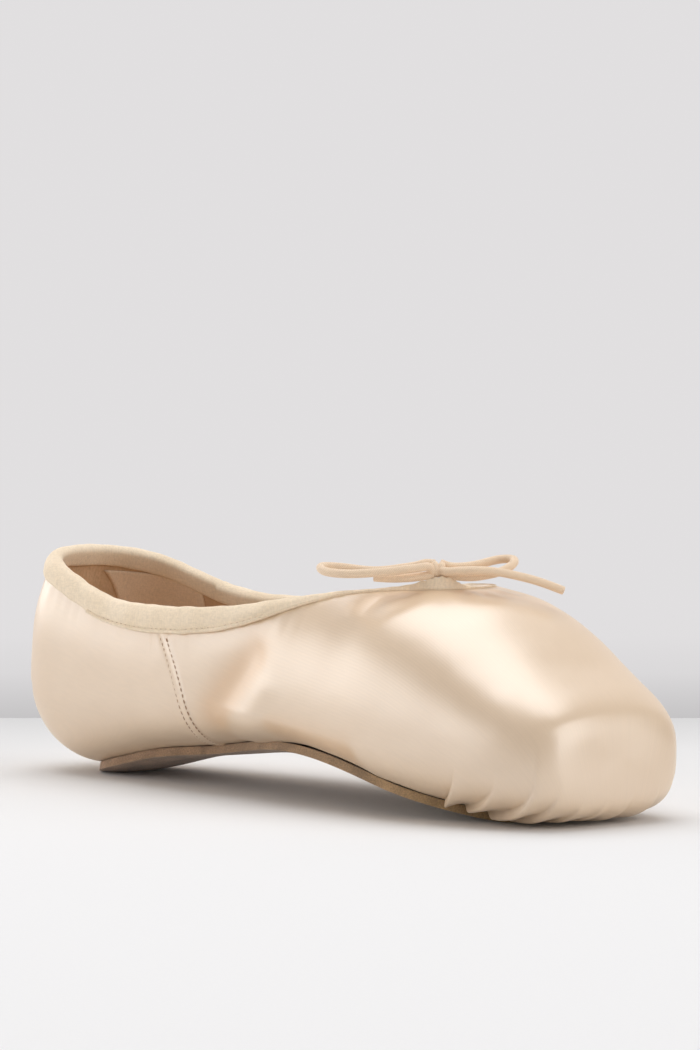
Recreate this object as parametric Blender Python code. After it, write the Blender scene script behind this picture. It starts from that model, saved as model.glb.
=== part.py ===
"""A pointe shoe: satin upper, pleated box toe, leather outsole, insole, collar binding and bow.

Metres, +Z up, the toe along +X. The origin is on the floor under the middle of the shoe.
The upper is a wall around a straight last. One function gives that last's surface, and every
piece that lies on the upper is worked out from it.
"""

import math
from collections import namedtuple

import bmesh
import bpy
import numpy as np

# Driving sizes
LENGTH = 0.228
BALL_WIDTH = 0.076
INSTEP = 0.0590
HEEL_HEIGHT = 0.0645

# Walls and clearances
WALL = 0.0017
TOE_WALL = 0.0030
CLEARANCE = 0.0003
INSOLE_CLEARANCE = 0.0005
SOLE_THICKNESS = 0.0023
INSOLE_THICKNESS = 0.0022
BINDING_CLOTH = 0.0008
BINDING_INSIDE = 0.0070
HEM_LAP = 0.0062
CORD = 0.0023

# Where the hardened toe box starts, and how far its wall takes to reach its full thickness
BOX_START = 0.70 * LENGTH
BOX_BLEND = 0.20 * LENGTH

# The last. `at` is a share of LENGTH from the back of the heel. The half width is a share of
# half the ball width, and heights are shares of INSTEP. The curves are the powers of the
# section's upper and lower halves: 2 is an ellipse, and more is squarer.
Section = namedtuple("Section", "at half_width widest under crown over_curve under_curve")
SECTIONS = (
    Section(0.00, 0.640, 0.442, 0.144, 1.248, 2.40, 1.90),
    Section(0.12, 0.688, 0.432, 0.038, 1.256, 2.35, 2.60),
    Section(0.25, 0.742, 0.422, 0.125, 1.325, 2.20, 2.55),
    Section(0.38, 0.830, 0.456, 0.194, 1.344, 2.25, 2.60),
    Section(0.50, 0.862, 0.422, 0.234, 1.190, 2.30, 2.20),
    Section(0.62, 0.935, 0.378, 0.203, 1.066, 2.35, 2.05),
    Section(0.70, 0.980, 0.352, 0.140, 1.025, 2.50, 2.15),
    Section(0.76, 0.998, 0.338, 0.086, 0.999, 2.60, 2.25),
    Section(0.84, 0.944, 0.325, 0.043, 0.902, 2.55, 2.40),
    Section(0.92, 0.853, 0.305, 0.020, 0.695, 2.70, 2.60),
    Section(1.00, 0.740, 0.286, 0.012, 0.546, 3.00, 3.00),
)

# The ends of the last: how far from each end its rounding starts, and how square it is.
HEEL_ROUNDING = 0.128 * LENGTH
HEEL_CURVE = 2.2
TOE_ROUNDING = 0.305 * LENGTH
TOE_CURVE = 10.0
PLATFORM_DOME = 0.0025

# The top line of the upper's wall, as a share of HEEL_HEIGHT.
Rim = namedtuple("Rim", "at height")
TOP_LINE = (
    Rim(0.00, 0.998),
    Rim(0.106, 0.904),
    Rim(0.212, 0.792),
    Rim(0.318, 0.766),
    Rim(0.424, 0.778),
    Rim(0.530, 0.817),
    Rim(0.635, 0.885),
    Rim(0.70, 0.906),
    Rim(0.76, 0.913),
)

# The outsole's outline: half its width as a share of half the ball width.
Outline = namedtuple("Outline", "at half_width")
SOLE_OUTLINE = (
    Outline(0.10, 0.405),
    Outline(0.17, 0.390),
    Outline(0.25, 0.400),
    Outline(0.35, 0.380),
    Outline(0.47, 0.490),
    Outline(0.58, 0.620),
    Outline(0.68, 0.690),
    Outline(0.78, 0.700),
    Outline(0.90, 0.620),
)
SOLE_HEEL_END = 0.106 * LENGTH
SOLE_TOE_END = 0.900 * LENGTH
SOLE_HEEL_ROUND = 0.080 * LENGTH
SOLE_TOE_ROUND = 0.140 * LENGTH
INSOLE_MARGIN = 0.0020

# The pleats under the toe. The bearing is in degrees from straight ahead, seen from the middle
# of the toe's spine, and each pleat is a step up that runs out toward the next pleat.
Pleat = namedtuple("Pleat", "bearing height reach")
PLEATS = (
    Pleat(5.0, 0.0009, 0.030),
    Pleat(14.0, 0.0010, 0.028),
    Pleat(22.6, 0.0013, 0.031),
    Pleat(26.6, 0.0013, 0.029),
    Pleat(31.4, 0.0013, 0.022),
    Pleat(38.6, 0.0018, 0.019),
)
PLEAT_EDGE = 0.35
PLEAT_START = 0.0018
PLEAT_RISE = 0.0025

# How far the binding comes down outside the wall, in metres: it narrows to a roll at the throat.
Leg = namedtuple("Leg", "at outside")
BINDING_LEG = (
    Leg(0.00, 0.0058),
    Leg(0.20, 0.0060),
    Leg(0.42, 0.0064),
    Leg(0.56, 0.0048),
    Leg(0.61, 0.0034),
    Leg(0.65, 0.0018),
    Leg(0.70, 0.0012),
    Leg(0.76, 0.0012),
)

# The binding's section, folded over the rim: a share of the leg's length down the wall, a lift
# above the rim in metres, 1 outside or -1 inside the wall, a share of the cloth's thickness
# beyond the gap, and whether the gather under the knot lifts the place or draws it back.
Fold = namedtuple("Fold", "leg lift side cloth lifted drawn")
BINDING_FOLD = (
    Fold(1.00, 0.0, 1, 0.0, 0, 0),
    Fold(1.00, 0.0, 1, 0.5, 0, 0),
    Fold(0.55, 0.0, 1, 1.0, 0, 0),
    Fold(0.12, 0.0, 1, 1.0, 1, 0),
    Fold(0.00, 0.0010, 1, 0.3, 1, 0),
    Fold(0.00, 0.0014, 0, 0.0, 1, 1),
    Fold(0.00, 0.0010, -1, 0.3, 1, 1),
    Fold(0.12, 0.0, -1, 1.0, 1, 1),
    Fold(0.55, 0.0, -1, 1.0, 0, 0),
    Fold(1.00, 0.0, -1, 0.8, 0, 0),
    Fold(1.00, 0.0, -1, 0.0, 0, 0),
    Fold(0.50, 0.0, -1, 0.0, 0, 0),
    Fold(0.00, CLEARANCE, -1, 0.0, 0, 0),
    Fold(0.00, CLEARANCE, 1, 0.0, 0, 0),
    Fold(0.50, 0.0, 1, 0.0, 0, 0),
)
# The casing is gathered under the knot: where, how wide, and how far it rises and reaches back.
GATHER_Y = -0.0098
GATHER_WIDTH = 0.0048
GATHER_RISE = 0.0017
GATHER_BACK = 0.0034
THROAT = 0.66 * LENGTH
RIM_SWEEP = 0.55
RIM_STEPS = 60

# How finely the solids are faceted
HEEL_RIBS = 8
SIDE_RIBS = 14
TOE_FRONT_RIBS = 3
TOE_SIDE_RIBS = 5
OUTER_ROWS = 19
INNER_ROWS = 14
SOLE_CAP_ROWS = 7
SOLE_SIDE_ROWS = 13
SOLE_COLUMNS = 9
FINE_STEPS = 160
ROW_RUN = 0.010
ROW_TURN = 0.35
EDGE_ROW = 0.006
RIM_ZONE = 0.009
PLEAT_ZONE = 0.022

# The bow: points by hand in millimetres, from the back of the heel, left of the middle and up.
KNOT_CENTRE = (0.1690, -0.0093, 0.0640)
KNOT_SIZE = (0.0052, 0.0048, 0.0050)
BOW_ROUTES = {
    "drawstring_loop_left": (
        (169.0, -12.4, 64.7), (168.3, -14.8, 64.6), (167.0, -17.5, 64.3), (164.7, -21.1, 63.8),
        (161.8, -24.5, 63.4), (158.6, -27.6, 63.1), (155.0, -30.0, 63.0), (151.2, -31.2, 63.2),
        (147.5, -30.7, 63.7), (144.9, -28.8, 64.3), (144.3, -25.5, 64.3), (145.9, -22.3, 64.0),
        (148.7, -19.4, 63.5), (152.2, -16.9, 63.2), (156.1, -14.7, 63.5), (160.2, -12.8, 64.2),
        (163.7, -11.3, 64.9), (166.1, -10.6, 65.5),
    ),
    "drawstring_loop_right": (
        (170.5, -7.1, 62.3), (172.2, -6.3, 62.2), (174.3, -5.3, 62.1), (176.7, -3.3, 62.1),
        (178.3, -0.5, 62.5), (179.5, 2.4, 63.1), (179.9, 5.6, 64.1), (179.2, 8.6, 65.3),
        (177.1, 10.5, 66.1), (174.3, 10.2, 66.2), (172.4, 8.0, 65.8), (171.4, 4.9, 65.1),
        (170.8, 1.5, 64.6), (170.3, -2.0, 64.4), (169.9, -4.6, 64.5), (169.6, -6.3, 64.8),
    ),
    "drawstring_end_right": (
        (172.5, -9.0, 63.5), (174.9, -8.1, 63.7), (178.0, -5.9, 63.9), (180.9, -2.2, 63.8),
        (183.1, 1.9, 63.1), (185.0, 5.5, 62.2), (186.8, 9.2, 61.1), (188.6, 12.9, 59.7),
        (190.3, 16.1, 58.3),
    ),
    "drawstring_end_left": (
        (168.0, -12.0, 62.4), (166.8, -13.9, 62.1), (164.8, -16.9, 61.8), (161.7, -19.5, 61.7),
        (158.2, -21.9, 61.9),
    ),
}

# Finishes: colour, roughness and metallic value
FINISHES = {
    "satin": ((0.80, 0.62, 0.48), 0.35, 0.0),
    "leather": ((0.36, 0.23, 0.15), 0.85, 0.0),
    "board": ((0.72, 0.62, 0.48), 0.80, 0.0),
    "binding": ((0.78, 0.62, 0.47), 0.60, 0.0),
    "cord": ((0.80, 0.60, 0.42), 0.55, 0.0),
}

ORIGIN = np.array((LENGTH / 2, 0.0, 0.0))
HEEL_SPINE = 0.17 * LENGTH
TOE_SPINE = LENGTH - TOE_ROUNDING


def smooth(stations, values):
    """A natural cubic curve through the values, as a function of the place."""
    x = np.asarray(stations, float)
    y = np.asarray(values, float)
    gap = np.diff(x)
    slope = np.diff(y) / gap
    matrix = np.eye(len(x))
    right = np.zeros(len(x))
    for i in range(1, len(x) - 1):
        matrix[i, i - 1:i + 2] = gap[i - 1], 2 * (gap[i - 1] + gap[i]), gap[i]
        right[i] = 6 * (slope[i] - slope[i - 1])
    bend = np.linalg.solve(matrix, right)

    def value(place):
        place = np.clip(np.asarray(place, float), x[0], x[-1])
        i = np.clip(np.searchsorted(x, place) - 1, 0, len(x) - 2)
        before = place - x[i]
        after = x[i + 1] - place
        curve = (bend[i] * after ** 3 + bend[i + 1] * before ** 3) / (6 * gap[i])
        left = (y[i] / gap[i] - bend[i] * gap[i] / 6) * after
        return curve + left + (y[i + 1] / gap[i] - bend[i + 1] * gap[i] / 6) * before

    return value


def column(rows, name, unit):
    """One column of a table as a smooth function of x, in metres."""
    places = [row.at * LENGTH for row in rows]
    return smooth(places, [getattr(row, name) * unit for row in rows])


half_width = column(SECTIONS, "half_width", BALL_WIDTH / 2)
widest = column(SECTIONS, "widest", INSTEP)
underside = column(SECTIONS, "under", INSTEP)
crown = column(SECTIONS, "crown", INSTEP)
over_curve = column(SECTIONS, "over_curve", 1.0)
under_curve = column(SECTIONS, "under_curve", 1.0)
top_line = column(TOP_LINE, "height", HEEL_HEIGHT)
sole_width = column(SOLE_OUTLINE, "half_width", BALL_WIDTH / 2)
binding_leg = column(BINDING_LEG, "outside", 1.0)


def end_term(x):
    """How much the heel's and the toe's rounding take away from the section at x."""
    heel = np.clip((HEEL_ROUNDING - x) / HEEL_ROUNDING, 0, None) ** HEEL_CURVE
    toe = np.clip((x - TOE_SPINE) / (TOE_ROUNDING + PLATFORM_DOME), 0, None) ** TOE_CURVE
    return heel + toe


def last(point):
    """1 on the outer face of the upper, less inside the last and more outside it."""
    x, y, z = point[..., 0], point[..., 1], point[..., 2]
    middle = widest(x)
    over = z > middle
    power = np.where(over, over_curve(x), under_curve(x))
    reach = np.where(over, crown(x) - middle, middle - underside(x))
    across = (np.abs(y) / half_width(x)) ** power
    return across + (np.abs(z - middle) / reach) ** power + end_term(x)


def outward(point):
    """The direction straight out of the last's surface."""
    step = 0.00002
    parts = []
    for axis in np.eye(3) * step:
        parts.append(last(point + axis) - last(point - axis))
    slope = np.stack(parts, -1)
    return slope / np.linalg.norm(slope, axis=-1, keepdims=True)


def cast(spine, bearing, elevation):
    """The last's surface, seen from a place on its spine along a bearing and an elevation."""
    start = np.stack([spine, np.zeros_like(spine), widest(spine)], -1)
    flat = np.cos(elevation)
    way = np.stack([flat * np.cos(bearing), flat * np.sin(bearing), np.sin(elevation)], -1)
    near = np.zeros_like(elevation)
    far = np.full_like(elevation, LENGTH)
    for _ in range(40):
        middle = (near + far) / 2
        outside = last(start + middle[..., None] * way) > 1
        far = np.where(outside, middle, far)
        near = np.where(outside, near, middle)
    return start + ((near + far) / 2)[..., None] * way


def find_elevation(spine, bearing, above, low, high):
    """The elevation, between low and high, from which `above` is true of the surface."""
    low = np.full_like(spine, low)
    high = np.full_like(spine, high)
    for _ in range(32):
        middle = (low + high) / 2
        true = above(cast(spine, bearing, middle))
        high = np.where(true, middle, high)
        low = np.where(true, low, middle)
    return (low + high) / 2


def sole_half(x, inset=0.0):
    """Half the outsole's width at x, for its outline moved inward by inset."""
    width = sole_width(x) - inset
    heel_cap = (SOLE_HEEL_END + SOLE_HEEL_ROUND - x) / (SOLE_HEEL_ROUND - inset)
    toe_cap = (x - SOLE_TOE_END + SOLE_TOE_ROUND) / (SOLE_TOE_ROUND - inset)
    heel = np.clip(1 - np.clip(heel_cap, 0, None) ** 2, 0, None)
    toe = np.clip(1 - np.clip(toe_cap, 0, None) ** 2, 0, None)
    return width * np.sqrt(heel * toe)


def on_rim(point):
    """True where the surface is above the top line."""
    return point[..., 2] > top_line(point[..., 0])


def past_sole(point):
    """True where the underside is outside the outsole's outline."""
    return np.abs(point[..., 1]) >= sole_half(point[..., 0])


def past_hem(point):
    """True where the underside is outside the hole that the outsole covers."""
    return np.abs(point[..., 1]) >= sole_half(point[..., 0], HEM_LAP)


def toe_bearings():
    """The toe's bearings from the side to straight ahead, with a pair at each pleat's edge."""
    half = PLEAT_EDGE
    edges = [0.0]
    for pleat in PLEATS:
        edges += [pleat.bearing - half, pleat.bearing + half]
    bearings = [0.0]
    for low, high in zip(edges[0::2], edges[1::2]):
        count = TOE_FRONT_RIBS if high - low > 5 else 2
        bearings += list(np.linspace(low, high, count + 1)[1:])
        bearings.append(high + 2 * half)
    bearings += list(np.linspace(edges[-1], 90.0, TOE_SIDE_RIBS + 1)[1:])
    return np.radians(bearings[::-1])


def half_ribs():
    """The ribs of one side from heel to toe: a place on the spine and a bearing for each."""
    heel = np.linspace(math.pi, math.pi / 2, HEEL_RIBS)
    side = np.linspace(HEEL_SPINE, TOE_SPINE, SIDE_RIBS + 2)[1:-1]
    toe = toe_bearings()
    spine = np.concatenate([np.full(len(heel), HEEL_SPINE), side, np.full(len(toe), TOE_SPINE)])
    bearing = np.concatenate([heel, np.full(len(side), math.pi / 2), toe])
    return spine, bearing


def rib_elevations(spine, bearing, count):
    """Elevations from the rim to the hem, closer at both edges and where the rib bends."""
    top = find_elevation(spine, bearing, on_rim, 0.0, math.radians(89.9))
    hem = find_elevation(spine, bearing, past_hem, math.radians(-89.9), 0.0)
    share = np.linspace(0, 1, FINE_STEPS)
    fine = top[:, None] + (hem - top)[:, None] * share
    points = cast(*np.broadcast_arrays(spine[:, None], bearing[:, None], fine))
    facing = outward(points)
    run = np.linalg.norm(np.diff(points, axis=1), axis=-1)
    turn = np.linalg.norm(np.diff(facing, axis=1), axis=-1)
    down = np.cumsum(run, axis=1)
    at_edges = (down < RIM_ZONE) | (down > down[:, -1:] - PLEAT_ZONE)
    weight = run / ROW_RUN + turn / ROW_TURN + at_edges * run / EDGE_ROW
    total = np.concatenate([np.zeros((len(spine), 1)), np.cumsum(weight, axis=1)], axis=1)
    rows = []
    for sums, elevations in zip(total, fine):
        rows.append(np.interp(np.linspace(0, sums[-1], count), sums, elevations))
    return np.array(rows)


def pleat_height(points, spine, bearing):
    """How far the pleats stand out at points on the ribs: a step for each, beside the sole."""
    edge = cast(spine, bearing, find_elevation(spine, bearing, past_sole, math.radians(-89.9), 0.0))
    beyond = np.linalg.norm(points - edge[:, None], axis=-1) * past_sole(points)
    rise = np.clip((beyond - PLEAT_START) / PLEAT_RISE, 0, 1)
    degrees = np.degrees(np.abs(bearing))
    height = np.zeros_like(beyond)
    lower = 0.0
    for pleat in PLEATS:
        span = (degrees - lower) / (pleat.bearing - lower)
        step = pleat.height * span * ((span >= 0) & (span < 1))
        fade = np.clip(1 - beyond / pleat.reach, 0, 1)
        height += step[:, None] * rise * np.sqrt(fade)
        lower = pleat.bearing
    return height


def wall_at(x):
    """The wall's thickness: cloth at the side, and the hardened box from the ball forward."""
    share = np.clip((x - BOX_START) / BOX_BLEND, 0, 1)
    return WALL + (TOE_WALL - WALL) * share * share * (3 - 2 * share)


def both_sides(half):
    """Grids of the left side's ribs, from heel to toe, made into a ring of both sides."""
    mirror = half[-2:0:-1] * np.array((1, -1, 1))
    return np.concatenate([half, mirror])


def flatten_platform(points, end):
    """Points past the platform are moved back onto it."""
    points = points.copy()
    points[..., 0] = np.minimum(points[..., 0], end)
    return points


def finish(name, bm, finish_name):
    """Make the named object from a bmesh, in the part's own frame, with its material."""
    bmesh.ops.translate(bm, verts=bm.verts, vec=tuple(-ORIGIN))
    mesh = bpy.data.meshes.new(name)
    bm.to_mesh(mesh)
    bm.free()
    piece = bpy.data.objects.new(name, mesh)
    bpy.context.collection.objects.link(piece)
    paint(piece, finish_name)
    mesh.shade_smooth()
    mesh.set_sharp_from_angle(angle=math.radians(40))
    return piece


def paint(piece, finish_name):
    """Give the piece its material, made once for each finish."""
    material = bpy.data.materials.get(finish_name)
    if material is None:
        colour, roughness, metallic = FINISHES[finish_name]
        material = bpy.data.materials.new(finish_name)
        material.use_nodes = True
        shader = material.node_tree.nodes["Principled BSDF"]
        shader.inputs["Base Color"].default_value = (*colour, 1.0)
        shader.inputs["Roughness"].default_value = roughness
        shader.inputs["Metallic"].default_value = metallic
    piece.data.materials.append(material)


def loft_ring(rings):
    """A closed body from closed rings of points that themselves run round in a loop."""
    bm = bmesh.new()
    verts = [[bm.verts.new(point) for point in ring] for ring in rings]
    for i, ring in enumerate(verts):
        following = verts[(i + 1) % len(verts)]
        for j in range(len(ring)):
            k = (j + 1) % len(ring)
            bm.faces.new((ring[j], ring[k], following[k], following[j]))
    bmesh.ops.recalc_face_normals(bm, faces=bm.faces)
    return bm


def slab(top, bottom):
    """A closed body between two sheets of points with the same rows and columns."""
    bm = bmesh.new()
    sheets = []
    for sheet in (top, bottom):
        sheets.append([[bm.verts.new(point) for point in row] for row in sheet])
    rows, columns = len(top), len(top[0])
    for grid in sheets:
        for i in range(rows - 1):
            for j in range(columns - 1):
                bm.faces.new((grid[i][j], grid[i + 1][j], grid[i + 1][j + 1], grid[i][j + 1]))
    edge = [(i, 0) for i in range(rows - 1)]
    edge += [(rows - 1, j) for j in range(columns - 1)]
    edge += [(i, columns - 1) for i in range(rows - 1, 0, -1)]
    edge += [(0, j) for j in range(columns - 1, 0, -1)]
    for (i, j), (k, m) in zip(edge, edge[1:] + edge[:1]):
        bm.faces.new((sheets[0][i][j], sheets[0][k][m], sheets[1][k][m], sheets[1][i][j]))
    bmesh.ops.recalc_face_normals(bm, faces=bm.faces)
    return bm


def make_upper():
    """The hollow wall, open at the collar and underneath."""
    spine, bearing = half_ribs()
    outer_rise = rib_elevations(spine, bearing, OUTER_ROWS)
    inner_rise = rib_elevations(spine, bearing, INNER_ROWS)
    outer_grid = cast(*np.broadcast_arrays(spine[:, None], bearing[:, None], outer_rise))
    inner_grid = cast(*np.broadcast_arrays(spine[:, None], bearing[:, None], inner_rise))
    raised = pleat_height(outer_grid, spine, bearing)[..., None]
    outer = flatten_platform(outer_grid + outward(outer_grid) * raised, LENGTH)
    outer[..., 2] = np.maximum(outer[..., 2], CLEARANCE)
    depth = wall_at(inner_grid[..., 0])[..., None]
    inner = flatten_platform(inner_grid - outward(inner_grid) * depth, LENGTH - TOE_WALL)
    half = np.concatenate([outer, inner[:, ::-1]], axis=1)
    return finish("upper", loft_ring(both_sides(half)), "satin")


def under_surface(x, y):
    """The point of the last's underside above a place in plan."""
    power = under_curve(x)
    left = 1 - (np.abs(y) / half_width(x)) ** power - end_term(x)
    middle = widest(x)
    z = middle - (middle - underside(x)) * np.clip(left, 0, None) ** (1 / power)
    return np.stack([x, y, z], -1)


def sole_plan(inset):
    """Rows and columns of places in plan that fill the sole's outline, moved in by inset."""
    heel_middle = SOLE_HEEL_END + SOLE_HEEL_ROUND
    toe_middle = SOLE_TOE_END - SOLE_TOE_ROUND
    turn = np.radians(np.linspace(86, 0, SOLE_CAP_ROWS))
    heel = heel_middle - (SOLE_HEEL_ROUND - inset) * np.sin(turn)
    toe = toe_middle + (SOLE_TOE_ROUND - inset) * np.sin(turn[::-1])
    side = np.linspace(heel_middle, toe_middle, SOLE_SIDE_ROWS)[1:-1]
    x = np.concatenate([heel, side, toe])
    across = np.sin(np.linspace(-math.pi / 2, math.pi / 2, SOLE_COLUMNS))
    return np.broadcast_arrays(x[:, None], sole_half(x, inset)[:, None] * across)


def make_outsole():
    """The leather sole, which follows the last and is flat where it stands."""
    base = under_surface(*sole_plan(0.0))
    facing = outward(base)
    top = base + facing * CLEARANCE
    bottom = base + facing * (CLEARANCE + SOLE_THICKNESS)
    bottom[..., 2] = np.maximum(bottom[..., 2], 0.0)
    return finish("outsole", slab(top, bottom), "leather")


def make_insole():
    """The board inside, over the turned-in edge of the upper."""
    base = under_surface(*sole_plan(INSOLE_MARGIN))
    facing = outward(base)
    under = wall_at(base[..., 0])[..., None] + INSOLE_CLEARANCE
    return finish("insole", slab(base - facing * (under + INSOLE_THICKNESS), base - facing * under), "board")


def rim_frames(spine, bearing):
    """For each rib: the length run down from the rim, the points there and the ways out."""
    top = find_elevation(spine, bearing, on_rim, 0.0, math.radians(89.9))
    fine = top[:, None] - np.linspace(0, RIM_SWEEP, RIM_STEPS)
    points = cast(*np.broadcast_arrays(spine[:, None], bearing[:, None], fine))
    steps = np.linalg.norm(np.diff(points, axis=1), axis=-1)
    run = np.concatenate([np.zeros((len(spine), 1)), np.cumsum(steps, axis=1)], axis=1)
    return run, points, outward(points)


def make_collar_binding():
    """The casing folded over the rim: one closed section carried round the opening."""
    spine, bearing = half_ribs()
    half = []
    for run, line, facing in zip(*rim_frames(spine, bearing)):
        up = (line[0] - line[1]) / np.linalg.norm(line[0] - line[1])
        section = []
        for fold in BINDING_FOLD:
            leg = binding_leg(line[0, 0]) if fold.side > 0 else BINDING_INSIDE
            place = np.array([np.interp(fold.leg * leg, run, line[:, axis]) for axis in range(3)])
            way = np.array([np.interp(fold.leg * leg, run, facing[:, axis]) for axis in range(3)])
            wall = wall_at(place[0])
            side = fold.side * (wall / 2 + CLEARANCE + fold.cloth * BINDING_CLOTH)
            section.append(place + up * fold.lift + way * (side - wall / 2))
        half.append(section)
    rings = both_sides(np.array(half))
    near = np.exp(-((rings[..., 1] - GATHER_Y) / GATHER_WIDTH) ** 2) * (rings[..., 0] > THROAT)
    rings[..., 2] += GATHER_RISE * near * [fold.lifted for fold in BINDING_FOLD]
    rings[..., 0] -= GATHER_BACK * near * [fold.drawn for fold in BINDING_FOLD]
    return finish("collar_binding", loft_ring(rings), "binding")


def make_knot():
    """The drawstring's knot: one wrap of cord pulled tight, as a waisted barrel."""
    bm = bmesh.new()
    bmesh.ops.create_uvsphere(bm, u_segments=14, v_segments=9, radius=0.5)
    for vert in bm.verts:
        swell = 1 + 0.10 * math.cos(6 * math.pi * vert.co.z)
        vert.co = (vert.co.x * swell * KNOT_SIZE[0], vert.co.y * swell * KNOT_SIZE[1], vert.co.z * KNOT_SIZE[2])
    bmesh.ops.translate(bm, verts=bm.verts, vec=KNOT_CENTRE)
    return finish("drawstring_knot", bm, "cord")


def make_cord(name, route):
    """A round cord along a smooth curve through the route's points."""
    points = np.array(route) / 1000 - ORIGIN
    run = np.concatenate([[0], np.cumsum(np.linalg.norm(np.diff(points, axis=0), axis=1))])
    count = int(run[-1] / (2.2 * CORD)) + 2
    places = np.linspace(0, run[-1], count)
    path = np.stack([smooth(run, points[:, axis])(places) for axis in range(3)], -1)
    curve = bpy.data.curves.new(name, "CURVE")
    curve.dimensions = "3D"
    curve.bevel_depth = CORD / 2
    curve.bevel_resolution = 2
    curve.use_fill_caps = True
    line = curve.splines.new("POLY")
    line.points.add(count - 1)
    for place, point in zip(path, line.points):
        point.co = (*place, 1.0)
    piece = bpy.data.objects.new(name, curve)
    bpy.context.collection.objects.link(piece)
    paint(piece, "cord")
    return piece


def main():
    """Clear the scene and make every piece."""
    for old in list(bpy.data.objects):
        bpy.data.objects.remove(old)
    make_outsole()
    make_upper()
    make_insole()
    make_collar_binding()
    make_knot()
    for name, route in BOW_ROUTES.items():
        make_cord(name, route)


main()
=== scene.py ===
# %% [markdown]
# # A pointe shoe
# A pointe shoe is a satin upper pulled over a hard box of paste and canvas, with a flat platform
# at the tip, a narrow leather sole and a casing with a drawstring round the opening. This lesson
# dresses a plain solid model of one. Every cloth piece lies on the shoe's last, so the last is
# written once, as a function, and each piece is worked out from it.

# %% Load the frame
import math
from collections import namedtuple

import bpy
import numpy as np
from mathutils import Matrix, Vector


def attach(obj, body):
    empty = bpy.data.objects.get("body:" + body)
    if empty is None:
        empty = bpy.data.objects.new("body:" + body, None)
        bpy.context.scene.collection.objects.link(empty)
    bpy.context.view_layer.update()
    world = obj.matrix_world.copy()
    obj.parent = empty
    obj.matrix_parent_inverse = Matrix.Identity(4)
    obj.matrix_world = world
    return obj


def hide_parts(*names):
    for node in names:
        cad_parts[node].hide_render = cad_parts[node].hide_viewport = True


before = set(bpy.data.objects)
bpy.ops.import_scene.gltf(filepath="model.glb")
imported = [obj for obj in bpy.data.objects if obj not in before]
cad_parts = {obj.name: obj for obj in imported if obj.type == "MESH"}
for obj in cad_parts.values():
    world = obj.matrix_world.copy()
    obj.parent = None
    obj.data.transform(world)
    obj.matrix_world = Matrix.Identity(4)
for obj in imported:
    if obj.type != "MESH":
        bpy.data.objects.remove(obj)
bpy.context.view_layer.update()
LENGTH = 0.228
BALL_WIDTH = 0.076
INSTEP = 0.0590
HEEL_HEIGHT = 0.0645
ORIGIN = np.array((LENGTH / 2, 0.0, 0.0))

# %% [markdown]
# ## The camera
# The photograph was taken with a long lens from a little above the floor, so the shoe shows almost
# no perspective. The camera's turn, its height and its lens are those of a trial camera that was
# fitted to the shoe's outline, and the frame is shifted, not tilted, as a product photographer does.

# %% Place the camera
AZIMUTH = math.radians(48.27)
ELEVATION = math.radians(3.74)
CAMERA_PLACE = (1.0161, -0.8973, 0.1427)
PHOTO_HEIGHT_PX = 1050
FOCAL_PX = 4987.8
CENTRE_BELOW_MIDDLE_PX = 70.1
SENSOR = 36.0

view = bpy.data.cameras.new("camera")
view.sensor_width = SENSOR
view.lens = FOCAL_PX / PHOTO_HEIGHT_PX * SENSOR
view.shift_y = CENTRE_BELOW_MIDDLE_PX / PHOTO_HEIGHT_PX
view.clip_start = 0.01
camera = bpy.data.objects.new("camera", view)
camera.location = CAMERA_PLACE
camera.rotation_euler = (math.pi / 2 - ELEVATION, 0.0, AZIMUTH)
bpy.context.scene.collection.objects.link(camera)
bpy.context.scene.camera = camera
print("lens", round(view.lens, 1), "mm")

# %% [markdown]
# ## The bow
# The drawstring is an elastic cord that leaves the casing at the throat. It is a cord of fixed
# length, so each loop and end is one curve with a round bevel, through listed points. The
# points are those of the solid cords, in millimetres from the back of the heel. The bevel is one
# metre deep and each point's radius scales it down, so the curve's box is no bigger than the cord.

# %% Lay the cords
CORD = 0.0023
BOW_ROUTES = {
    "loop_left": (
        (168.9, -10.9, 63.3), (169.0, -12.4, 64.7), (168.3, -14.8, 64.6), (167.0, -17.5, 64.3),
        (164.7, -21.1, 63.8),
        (161.8, -24.5, 63.4), (158.6, -27.6, 63.1), (155.0, -30.0, 63.0), (151.2, -31.2, 63.2),
        (147.5, -30.7, 63.7), (144.9, -28.8, 64.3), (144.3, -25.5, 64.3), (145.9, -22.3, 64.0),
        (148.7, -19.4, 63.5), (152.2, -16.9, 63.2), (156.1, -14.7, 63.5), (160.2, -12.8, 64.2),
        (163.7, -11.3, 64.9), (166.1, -10.6, 65.5), (168.1, -9.6, 65.4),
    ),
    "loop_right": (
        (169.6, -8.6, 62.9), (170.5, -7.1, 62.3), (172.2, -6.3, 62.2), (174.3, -5.3, 62.1),
        (176.7, -3.3, 62.1),
        (178.3, -0.5, 62.5), (179.5, 2.4, 63.1), (179.9, 5.6, 64.1), (179.2, 8.6, 65.3),
        (177.1, 10.5, 66.1), (174.3, 10.2, 66.2), (172.4, 8.0, 65.8), (171.4, 4.9, 65.1),
        (170.8, 1.5, 64.6), (170.3, -2.0, 64.4), (169.9, -4.6, 64.5), (169.6, -6.3, 64.8),
        (168.9, -8.0, 65.5),
    ),
    "end_right": (
        (170.2, -9.3, 63.8), (172.5, -9.0, 63.5), (174.9, -8.1, 63.7), (178.0, -5.9, 63.9),
        (180.9, -2.2, 63.8),
        (183.1, 1.9, 63.1), (185.0, 5.5, 62.2), (186.8, 9.2, 61.1), (188.6, 12.9, 59.7),
        (190.3, 16.1, 58.3),
    ),
    "end_left": (
        (168.6, -10.6, 62.6), (168.0, -12.0, 62.4), (166.8, -13.9, 62.1), (164.8, -16.9, 61.8),
        (161.7, -19.5, 61.7), (158.2, -21.9, 61.9),
    ),
}
CORD_STEP = 0.0006
UNIT_BEVEL = 1.0


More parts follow.
